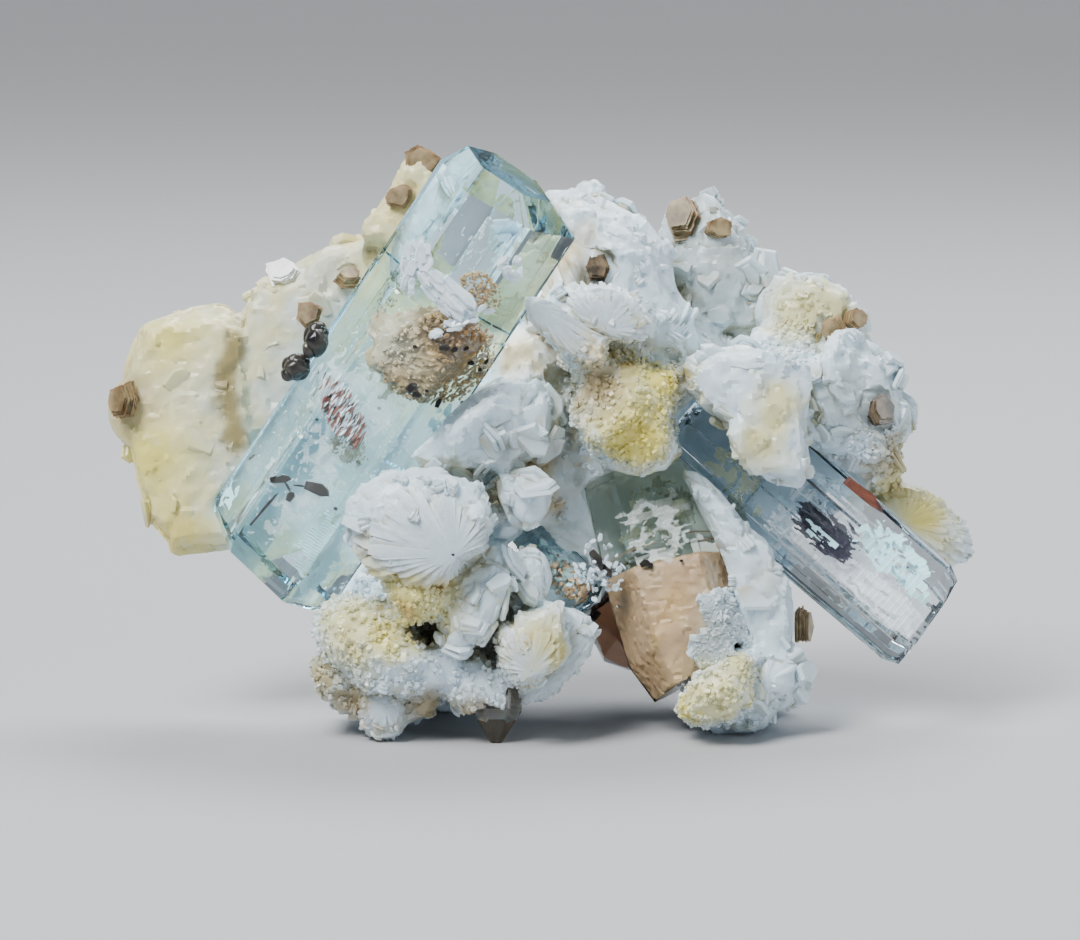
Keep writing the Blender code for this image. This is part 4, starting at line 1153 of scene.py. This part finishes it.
def inclusion(name, parts, material, smooth_angle=None):
    """Closed shapes as one piece that lies in or on a crystal."""
    points, faces = join_parts(parts)
    piece = new_piece(name, points, faces, material, smooth_angle)
    face_outward(piece.data)
    return piece


def fill_large_crystal(materials):
    host = "aquamarine_large"
    inclusion("needles_in_large", [
        marks(host, LARGE_MARKS, 0.3, 0.9, 1), marks(host, LARGE_SPECKS, 0.5, 0.25, 2),
        flakes(host, (-24.8, 41.8), (5, 1.8), -58, (0.6, 1.6), 26, (0.5, 1.3, 0.2), 55, 10, 3),
    ], materials["specks"])
    inclusion("rusty_stripes", [
        flakes(host, (-24.0, 40.8), (4.6, 1.9), -58, (0.3, 1.5), 150, (0.26, 1.5, 0.2), 55, 9, 4),
    ], materials["rust"])
    inclusion("bright_stripes", [
        flakes(host, (-25.0, 42.2), (5.2, 2.1), -58, (0.1, 1.2), 110, (0.3, 1.5, 0.12), 55, 10, 5),
    ], materials["silk"])
    # Painted sheen along fractures. The patch on the crystal's left face, at (-38.4, 30.6), is a painted
    # highlight, and the one at (-12.4, 40.0) is painted glitter.
    inclusion("painted_sheen_in_large", [
        lace(host, (-27.4, 23.4), (6.2, 3.0), 62, 0.3, 0.13, 0.8, (1.1, 0.8), 6),
        lace(host, (-38.4, 30.6), (3.0, 1.3), 58, 0.5, 0.12, 0.72, (1.6, 0.6), 7),
        lace(host, (-12.4, 40.0), (3.4, 1.4), 56, 0.5, 0.12, 0.6, (1.2, 0.6), 8),
        lace(host, (-21, 32), (4, 1.3), 56, 0.6, 0.12, 0.5, (1.2, 0.5), 9),
    ], materials["painted_sheen"])
    inclusion("veils_in_large", [
        lace(host, (-22, 43), (17, 6), 56, 3.0, 0.17, 0.56, (5, 2), 10),
        lace(host, (-30, 33), (11, 6), 56, 1.2, 0.15, 0.5, (4, 1.6), 11),
        lace(host, (-24, 38), (15, 6.5), 56, 6.5, 0.2, 0.55, (5, 3), 12),
        lace(host, (-9, 61), (6, 4), 56, 3.0, 0.15, 0.42, (1.6, 0.35), 13),
        flakes(host, (-24, 40), (19, 7), 56, (0.6, 9), 500, (0.3, 0.5, 0.05), 56, 60, 14),
    ], materials["veil"])
    cloud = inclusion("tan_cloud_in_large", [
        ball_inside(host, (-13.4, 47.8, tan_depth(host, -13.4, 47.8, 2.8)), (7.4, 5.4, 2.0), 12),
        flakes(host, (-12.6, 47.6), (7.0, 5.2), 20, (0.3, 2.6), 1500, (0.55, 0.7, 0.5), 40, 60, 13),
        flakes(host, (-7.2, 55.6), (2.8, 2.0), -40, (0.2, 1.4), 260, (0.35, 0.5, 0.35), 40, 60, 14),
    ], materials["crust"], 20)
    paint(cloud.data, CLOUD_TAN, CLOUD_STAINS, 9)
    inclusion("mossy_patches", [
        lace(host, (-23.4, 36.2), (3.4, 2.2), -30, 0.9, 0.12, 0.62, (0.9, 0.9), 15),
        lace(host, (-19.0, 45.0), (2.6, 4.0), -20, 1.4, 0.13, 0.56, (1.2, 1.2), 16),
        flakes(host, (-23.6, 36.4), (2.4, 1.5), -30, (0.3, 1.2), 110, (0.3, 0.4, 0.3), 40, 60, 15),
        flakes(host, (-17, 57), (1.2, 5.5), -32, (0.5, 2.0), 160, (0.3, 0.4, 0.3), 40, 60, 17),
    ], materials["moss"])
    inclusion("blades_on_large", [
        flakes(host, (-11.2, 55.0), (3.6, 1.7), -42, (-0.6, 0.4), 70, (1.2, 3.2, 0.5), -46, 7, 17),
        flakes(host, (-15.2, 58.6), (1.8, 3.0), -10, (-0.5, 0.4), 46, (1.1, 2.4, 0.5), 96, 14, 18),
        flakes(host, (-3.6, 58.2), (1.4, 1.4), 0, (-0.3, 0.6), 22, (1.0, 1.6, 0.7), 60, 30, 19),
        flakes(host, (-9.6, 51.8), (4.4, 0.8), 28, (-0.3, 0.5), 34, (0.9, 1.6, 0.4), 20, 22, 20),
    ], materials["silk"])


def ball_inside(crystal, centre, half, seed):
    """A knobbly lump that is drawn in wherever it would leave its crystal."""
    points, faces = ball(centre, half, 5, 0.34, seed)
    middle = to_frame(np.array([centre]))
    for _ in range(14):
        outside = ~inside_crystal(points, CRYSTALS[crystal], -0.35)
        points = np.where(outside[:, None], middle + (points - middle) * 0.92, points)
    bumps = 0.4 * grain_field(to_display(points), 0.7, seed)
    return points + unit(points - middle) * bumps[:, None] * MM, faces


def tan_depth(crystal, across, up, below):
    """How far out a spot lies that is below a crystal's front."""
    return float(front_of(crystal, np.array([across]), np.array([up]))[0]) - below


def fill_right_crystal(materials):
    host = "aquamarine_right"
    inclusion("dark_lamellae", [
        lace(host, (35.6, 26.4), (6.2, 3.0), -40, 0.9, 0.11, 0.7, (2.4, 0.35), 21),
        lace(host, (35.2, 26.0), (5.6, 2.8), -40, 1.5, 0.12, 0.66, (2.0, 0.4), 22),
    ], materials["plum"])
    inclusion("brick_blade", [marks(host, [(40.3, 30.4, 6.4, 2.0, -42)], 0.5, 0.6, 22)],
              materials["rust"])
    # painted sheen in the icy part of the crystal
    inclusion("painted_sheen_in_right", [
        lace(host, (44.2, 22.6), (7.4, 3.4), -42, 0.5, 0.12, 0.66, (1.2, 0.8), 23),
        lace(host, (43.6, 23.2), (6.8, 3.0), -42, 1.4, 0.12, 0.6, (0.9, 0.6), 24),
        lace(host, (33.5, 27.0), (8, 1.4), -41, 0.3, 0.12, 0.5, (3.4, 0.25), 25),
    ], materials["painted_sheen"])
    inclusion("frost_in_right", [
        lace(host, (43.0, 17.0), (8.0, 2.8), -41, 0.5, 0.12, 0.72, (4, 0.35), 26),
        lace(host, (42.0, 18.0), (8.4, 3.4), -41, 1.8, 0.14, 0.66, (3, 0.6), 27),
        lace(host, (37, 24), (14, 5.4), -41, 4.5, 0.18, 0.6, (4, 1.2), 28),
    ], materials["frost"])
    inclusion("moss_in_right", [
        lace(host, (24.0, 33.6), (5.0, 2.6), -35, 0.7, 0.13, 0.66, (1.0, 1.0), 29),
        lace(host, (25.2, 29.4), (4.0, 2.4), -41, 1.4, 0.14, 0.6, (1.2, 1.2), 30),
    ], materials["moss"])


def fill_centre_crystal(materials):
    host = "aquamarine_centre"
    foot, head, radius = CRYSTALS[host][:3]
    rings = [(12.4, 0.86, 0.06, 0, 0), (13.4, 0.92, 0.06, 0, 0), (21.3, 0.92, -0.2, 0.05, 0),
             (26.0, 0.7, -0.22, 0.05, 0)]
    core = loose_object("tan_core", *prism(rings, foot, head, radius))
    add_remesh(core, 0.45)
    apply_modifiers(core)
    points = coordinates(core.data)
    push = 0.2 * grain_field(to_display(points), 0.6, 5) + 0.12 * soft_noise(to_display(points), 2.2, 6)
    set_coordinates(core.data, points + normals(core.data) * push[:, None] * MM)
    dress(core, materials["crust"], 24)
    paint(core.data, CORE_TAN, CORE_STAINS, 8)
    inclusion("moss_in_centre", [
        lace(host, (14.6, 29.0), (5.2, 5.4), 15, 1.0, 0.13, 0.5, (1.3, 1.3), 31),
        lace(host, (14.2, 28.0), (5.2, 6.0), 15, 4.0, 0.15, 0.55, (1.6, 1.6), 32),
    ], materials["moss"])
    inclusion("veils_in_centre", [
        lace(host, (14.2, 26.0), (5.2, 6.4), 15, 0.6, 0.13, 0.5, (2, 0.8), 33),
        lace(host, (14.2, 27.0), (5.2, 6.4), 15, 2.4, 0.15, 0.6, (2, 1.2), 34),
    ], materials["veil"])
    crust = crust_on(host, (22.4, 11.0), (4.6, 8.0), 4, 2600, 35)
    rock_piece("crust_on_centre", [crust], materials["albite"], "albite", WHITE, CRUST_STAINS, 36, 10)
    inclusion("specks_in_centre", [
        marks(host, [(12.9, 22.3, 1.3, 1.0, 30), (13.6, 22.0, 0.8, 0.7, 80), (17.4, 22.6, 0.5, 0.4, 0),
                     (23.0, 14.6, 0.5, 0.4, 0)], 0.4, 0.15, 33)],
        materials["specks"])


def crust_on(crystal, centre, half, turn, number, seed):
    """Sugary grains that grow on a crystal's front, fewer towards the edge of an ellipse."""
    chance = np.random.default_rng(seed)
    radius, angle = chance.random(number) ** 0.7, chance.random(number) * math.tau
    x, y = np.cos(angle) * radius * half[0], np.sin(angle) * radius * half[1]
    across, up = spots_beside(centre, x, y, turn)
    out = front_of(crystal, across, up)
    thinner = soft_noise(np.stack([across, up, up * 0], 1), 2.4, seed) > radius * 1.1 - 0.95
    spots = np.stack([across, up, out + 0.05], 1)[~np.isnan(out) & thinner]
    count = len(spots)
    sizes = chance.uniform(0.35, 1.2, (count, 1)) * chance.uniform(0.7, 1.2, (count, 3))
    axes = tumbled(chance, count)
    return copies(grain_shape(), spots, axes, sizes)


def fill_small_crystal(materials):
    host = "aquamarine_small"
    inclusion("tan_cloud_in_small", [
        flakes(host, (3.2, 19.9), (3.0, 1.6), -45, (0.4, 3), 200, (0.5, 0.7, 0.4), 40, 60, 41),
    ], materials["tan_cloud"])
    # painted sheen in the small crystal
    inclusion("painted_sheen_in_small", [
        flakes(host, (2.2, 21.6), (4.0, 2.8), -45, (0.1, 2), 90, (0.7, 1.2, 0.08), -45, 40, 42),
    ], materials["painted_sheen"])


def dark_rods(materials):
    """The little black tourmaline with bright flakes around it, which are painted glints, between the small
    and centre crystals.
    """
    rods = np.array(ROD_SPOTS, float)
    count = len(rods)
    way = np.radians(rods[:, 3])
    length = np.stack([np.cos(way), np.sin(way), np.full(count, 0.2)], 1)
    axes = axes_from(length, np.tile((0.1, 0.1, 1.0), (count, 1)))
    sizes = np.stack([rods[:, 5], rods[:, 4], rods[:, 5] * 0.9], 1)
    inclusion("tourmaline_rods", [copies(plate_shape(), rods[:, :3], axes, sizes)],
              materials["tourmaline"])
    # painted glints: bright flakes around the rods
    chance = np.random.default_rng(51)
    rows = (70, 3)
    spots = np.array([7.6, 21.4, 11.2]) + chance.normal(0, 1, rows) * np.array([1.3, 1.5, 0.5])
    axes = axes_from(chance.normal(size=rows), chance.normal(0, 0.6, rows) + np.array([0, 0, 1.0]))
    sizes = chance.uniform(0.3, 1.0, rows) * np.array([1, 1.2, 0.4])
    inclusion("painted_glint_flakes", [copies(plate_shape(), spots, axes, sizes)], materials["silk"])


# Crystals

def section_of(radius, pieces, seed, groove):
    """The crystal's outline with fine steps along each side: rows of (x, y)."""
    chance = random.Random(seed)
    angles = [math.radians(60 * k) for k in range(6)]
    corners = [np.array([math.cos(angle), math.sin(angle)]) for angle in angles]
    rows = []
    for k in range(6):
        start, end = corners[k] * radius, corners[(k + 1) % 6] * radius
        inward = -(start + end) / np.linalg.norm(start + end)
        marks_on_side = sorted([*NEAR_CORNER, *(chance.uniform(0.06, 0.94) for _ in range(pieces))])
        for mark in marks_on_side:
            sunk = 0 if mark in NEAR_CORNER else chance.choice((0, 0, 0.4, 0.7, 1.0)) * groove
            rows.append(start + (end - start) * mark + inward * sunk)
    return np.array(rows)


def crystal_piece(name, material, pieces, groove, end_rough, seed):
    """A crystal with striated sides and rough ends, where the CAD has its plain prism."""
    foot, head, radius, rings = CRYSTALS[name]
    start, axis, side, front = crystal_axes(foot, head)
    section = section_of(radius, pieces, seed, groove)
    fine = [rings[0]]
    for low, high in zip(rings, rings[1:]):
        count = max(1, round((high[0] - low[0]) / 1.6))
        fine += [tuple(a + (b - a) * k / count for a, b in zip(low, high)) for k in range(1, count + 1)]
    first, last = fine[0], fine[-1]
    caps = [0.93, 0.8, 0.6, 0.35, 0.12]
    rows = [(*first, c) for c in caps[::-1]] + [(*row, 1.0) for row in fine] + [(*last, c) for c in caps]
    x, y = section[:, 0], section[:, 1]
    rings_made = []
    for k, (distance, share, side_slope, front_slope, slide, reach) in enumerate(rows):
        spot_x, spot_y = x * reach, y * reach
        along = distance + side_slope * spot_x + front_slope * spot_y
        local = np.stack([along, spot_x * share + slide, spot_y * share], 1)
        if reach < 1:
            relief = grain_field(local, radius / 4, seed + 3) + 0.4 * soft_noise(local, 1.2, seed)
            local[:, 0] -= np.abs(end_rough * relief) * np.sign(k - len(rows) / 2)
        else:
            slow = np.stack([along / 7, spot_x, spot_y], 1)
            local[:, 1:] *= (1 + 0.07 * soft_noise(slow, 1.6, seed + 7) / radius)[:, None]
        rings_made.append(local)
    points = np.array(start) + np.concatenate(rings_made) @ np.array([axis, side, front]) * MM
    faces = capped_faces(len(section), len(rows))
    piece = new_piece(name + "_crystal", points, faces, material, 12)
    face_outward(piece.data)
    let_light_in(piece)
    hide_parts(name)
    return piece


def let_light_in(crystal):
    """Keeps a clear crystal from throwing a shadow, so that what lies in it and behind it is lit."""
    crystal.visible_shadow = False


# Mica and tourmaline

def mica_piece(name, material):
    """A book of ragged sheets."""
    centre, radius, thickness, turn, pitch, spin, sides = MICA_BOOKS[name]
    chance = random.Random(len(name) * 7)
    side, top, front = facing(turn, pitch, spin)
    middle = on_display(*centre)
    reach = [1 + chance.uniform(-0.34, 0.08) for _ in range(sides)]
    parts = []
    number = max(4, round(thickness / SHEET))
    per_side = 6  # points along each side of a sheet
    for layer in range(number):
        level = layer / (number - 1)
        share = 1.02 - 0.2 * level - chance.uniform(0, 0.13)
        slide = Vector((chance.uniform(-0.07, 0.07), chance.uniform(-0.07, 0.07))) * radius
        low = -thickness / 2 + layer * thickness / number
        bend = chance.uniform(-0.04, 0.04)
        rim = []
        far = [value * (1 - chance.uniform(0, 0.14)) for value in reach]
        for i in range(sides * per_side):
            corner, part = divmod(i, per_side)
            a, b = math.tau * corner / sides, math.tau * (corner + 1) / sides
            first = Vector((math.cos(a), math.sin(a))) * far[corner]
            second = Vector((math.cos(b), math.sin(b))) * far[(corner + 1) % sides]
            spot = first.lerp(second, part / per_side) * radius * share
            rim.append(spot * (1 - chance.uniform(0, 0.07)) + slide)
        points = []
        for height in (low, low + thickness / number * 0.8):
            points += [middle + (side * p.x + top * p.y + front * (height + bend * p.x)) * MM for p in rim]
        parts.append(([tuple(p) for p in points], capped_faces(len(rim), 2)))
    points, faces = join_parts(parts)
    piece = new_piece(name + "_sheets", points, faces, material)
    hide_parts(name)
    return piece


def ball(centre, half, detail, knobbly, seed):
    """A faceted lump: its frame points and faces."""
    shape = bmesh.new()
    bmesh.ops.create_icosphere(shape, subdivisions=detail, radius=1.0)
    points = np.array([v.co for v in shape.verts])
    faces = [tuple(v.index for v in f.verts) for f in shape.faces]
    shape.free()
    bumps = 1 + knobbly * soft_noise(points + seed * 3.7, 0.6, seed)
    return to_frame(np.array(centre) + points * bumps[:, None] * np.array(half)), faces


def tourmaline_piece(name, material):
    """A clump of knobs."""
    centre, half = TOURMALINE_CLUMPS[name]
    chance = random.Random(len(name))
    parts = []
    for k in range(KNOBS):
        way = Vector((chance.gauss(0, 1), chance.gauss(0, 1), chance.gauss(0, 1))).normalized()
        size = chance.uniform(*KNOB_SIZES)
        spot = [c + w * h * (1 - size) * 0.98 for c, w, h in zip(centre, way, half)]
        parts.append(ball(spot, [h * size for h in half], 3, 0.22, k + len(name)))
    points, faces = join_parts(parts)
    piece = new_piece(name + "_knobs", points, faces, material, 40)
    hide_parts(name)
    return piece


# Stage

def make_floor():
    """A wide pale floor that curves up far away on every side."""
    profile = [(0.0, 0.0), (FLOOR_REACH, 0.0)]
    for k in range(1, FLOOR_STEPS + 1):
        angle = math.radians(90 * k / FLOOR_STEPS)
        profile.append((FLOOR_REACH + math.sin(angle), 1 - math.cos(angle)))
    profile.append((FLOOR_REACH + 1, WALL_TOP))
    points = []
    for reach, height in profile:
        for k in range(FLOOR_SIDES):
            angle = math.tau * k / FLOOR_SIDES
            points.append((reach * math.cos(angle), reach * math.sin(angle), height))
    mesh = bpy.data.meshes.new("floor")
    mesh.from_pydata(points, [], band_faces(FLOOR_SIDES, len(profile)))
    mesh.shade_smooth()
    floor = placed("floor", mesh)
    floor.location.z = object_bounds()[0].z
    mesh.materials.append(new_material("paper", Base_Color=(0.42, 0.43, 0.45, 1), Roughness=0.7))


def add_light(name, spot, size, power, colour=(1, 1, 1)):
    """A softbox at a spot, in metres, that faces the specimen."""
    data = bpy.data.lights.new(name, "AREA")
    data.shape, data.size, data.size_y = "RECTANGLE", size[0], size[1]
    data.energy, data.color = power, colour
    light = placed(name, data)
    light.location = spot
    light.rotation_euler = (Vector(spot) - on_display(*VIEW_CENTRE)).to_track_quat("Z", "Y").to_euler()


def make_stage():
    """The floor, the lights and the camera at the photograph's viewing angle."""
    make_floor()
    world = bpy.data.worlds.new("studio")
    world.use_nodes = True
    background = world.node_tree.nodes["Background"]
    background.inputs["Color"].default_value = (0.75, 0.84, 0.95, 1)
    background.inputs["Strength"].default_value = 0.14
    bpy.context.scene.world = world
    add_light("key", (-0.4, -0.45, 0.7), size=(0.32, 0.32), power=9, colour=(1, 0.985, 0.96))
    sky_data = bpy.data.lights.new("sky", "SUN")
    sky_data.energy = 2.4
    sky_data.angle = math.radians(30)
    sky = placed("sky", sky_data)
    sky.rotation_euler = Vector((-0.35, -0.3, 1)).to_track_quat("Z", "Y").to_euler()
    add_light("fill", (0.7, -0.5, 0.25), size=(0.4, 0.5), power=2.2, colour=(0.86, 0.94, 1))
    add_light("rim", (0.15, 0.4, 0.6), size=(0.6, 0.25), power=6.5)
    camera_data = bpy.data.cameras.new("camera")
    camera = placed("camera", camera_data)
    camera_data.sensor_width = SENSOR_WIDTH
    camera_data.lens = SENSOR_WIDTH * CAMERA_DISTANCE / PHOTO_WIDTH
    camera.location = on_display(*VIEW_CENTRE) + OUT * CAMERA_DISTANCE
    camera.rotation_euler = OUT.to_track_quat("Z", "Y").to_euler()
    bpy.context.scene.camera = camera


def slabs_of(lobes, rooms):
    """All slabs of some lobes, cut free of the crystals."""
    return cut_free([part for seed, *lobe in lobes.values() for part in slabs_of_lobe(*lobe, seed)], rooms)


def fans_of(lobes, rooms):
    """All hands of blades of some lobes, cut free of the crystals."""
    return cut_free([part for seed, *lobe in lobes.values() for part in fan(*lobe, seed)], rooms)


def not_sugary(most, less):
    """How wanted blades are where the albite isn't sugary, and how much less where it is."""
    return lambda places: most - less * sugar_share(places)


def at_the_back(places):
    """How wanted blades are at the back."""
    return np.where(places[:, 2] < -5, 0.8, 0)


def everywhere(places):
    """As at_the_back, for blades that may stand anywhere."""
    return np.full(len(places), 0.9)


def make_rock(materials):
    """The albite and the feldspar, with everything small that grows on them."""
    rooms = {name: room_for_crystal(name) for name in CRYSTALS}
    albite = materials["albite"], "albite", WHITE, ALBITE_STAINS_AND_HOLE_SHADE
    feldspar = materials["feldspar"], "cream_feldspar", FELDSPAR_WHITE, FELDSPAR_STAINS
    core = rock_core("albite", "albite_core", *albite, voxel=0.62, inset=0.35, grain=0.4, seed=3)
    bed = rock_core("cream_feldspar", "feldspar_core", *feldspar, voxel=0.55, inset=0.2, grain=0.3, seed=9)
    massive = rock_piece("albite_slabs", slabs_of(ALBITE_SLABS, rooms), *albite, seed=5)
    hands = rock_piece("albite_fans", fans_of(ALBITE_FANS, rooms), *albite, seed=5)
    cream = rock_piece("feldspar_slabs", slabs_of(FELDSPAR_SLABS, rooms), *feldspar, seed=6)
    for room in rooms.values():
        bpy.data.objects.remove(room, do_unlink=True)
    grains = grains_on(core.data, count=42000, seed=11, low=0.3, high=0.75, wanted=sugar_share)
    grains = clear_of_others(grains, grain_shape())
    dressing = [rock_piece("albite_grains", [grains], *albite, seed=7, smooth_angle=10)]
    # What grows: its rock, clusters, seed, kind, where it is wanted, its mineral and the seed of its tint
    for name, rock, clusters, seed, kind, wanted, mineral, tint in (
            ("albite_blades", core, 900, 12, STACKS, not_sugary(0.9, 0.8), albite, 8),
            ("albite_plates", massive, 620, 14, PLATES, not_sugary(0.9, 0.7), albite, 8),
            ("albite_back_plates", core, 1100, 16, PLATES, at_the_back, albite, 8),
            ("feldspar_plates", cream, 120, 15, PLATES, everywhere, feldspar, 9)):
        blades = clear_of_others(blades_on(rock.data, clusters, seed, kind, wanted), plate_shape())
        dressing.append(rock_piece(name, [blades], *mineral, seed=tint, smooth_angle=10))
    # Painted shade, with a tan stain, in the hollows of the rock and on what grows there.
    paint_crevice_shade_and_tan([core, massive, hands, bed, cream], dressing)


def make_crystals(materials):
    """The crystals and what lies in them. Three of them keep their CAD shape."""
    clear, blue = materials["aquamarine"], materials["blue_aquamarine"]
    crystal_piece("aquamarine_large", clear, pieces=9, groove=0.09, end_rough=0.12, seed=2)
    crystal_piece("aquamarine_right", blue, pieces=8, groove=0.22, end_rough=0.9, seed=4)
    crystal_piece("aquamarine_small", clear, pieces=5, groove=0.05, end_rough=0.12, seed=6)
    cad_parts["aquamarine_centre"].data.materials[0] = materials["clouded"]
    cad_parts["smoky_quartz"].data.materials[0] = materials["smoky"]
    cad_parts["quartz_tip"].data.materials[0] = materials["tan_quartz"]
    let_light_in(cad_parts["aquamarine_centre"])
    fill_large_crystal(materials)
    fill_right_crystal(materials)
    fill_centre_crystal(materials)
    fill_small_crystal(materials)
    dark_rods(materials)


def main():
    materials = make_materials()
    make_stage()
    make_rock(materials)
    make_crystals(materials)
    for name in MICA_BOOKS:
        kind = MICA_KINDS.get(name, "mica")
        mica_piece(name, materials[kind])
    for name in TOURMALINE_CLUMPS:
        tourmaline_piece(name, materials["tourmaline"])


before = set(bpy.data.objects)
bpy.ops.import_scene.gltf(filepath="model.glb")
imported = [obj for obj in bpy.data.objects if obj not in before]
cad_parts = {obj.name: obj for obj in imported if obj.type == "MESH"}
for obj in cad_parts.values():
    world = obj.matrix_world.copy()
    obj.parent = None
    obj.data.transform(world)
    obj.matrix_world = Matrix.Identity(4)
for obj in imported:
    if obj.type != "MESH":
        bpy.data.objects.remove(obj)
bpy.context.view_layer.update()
main()
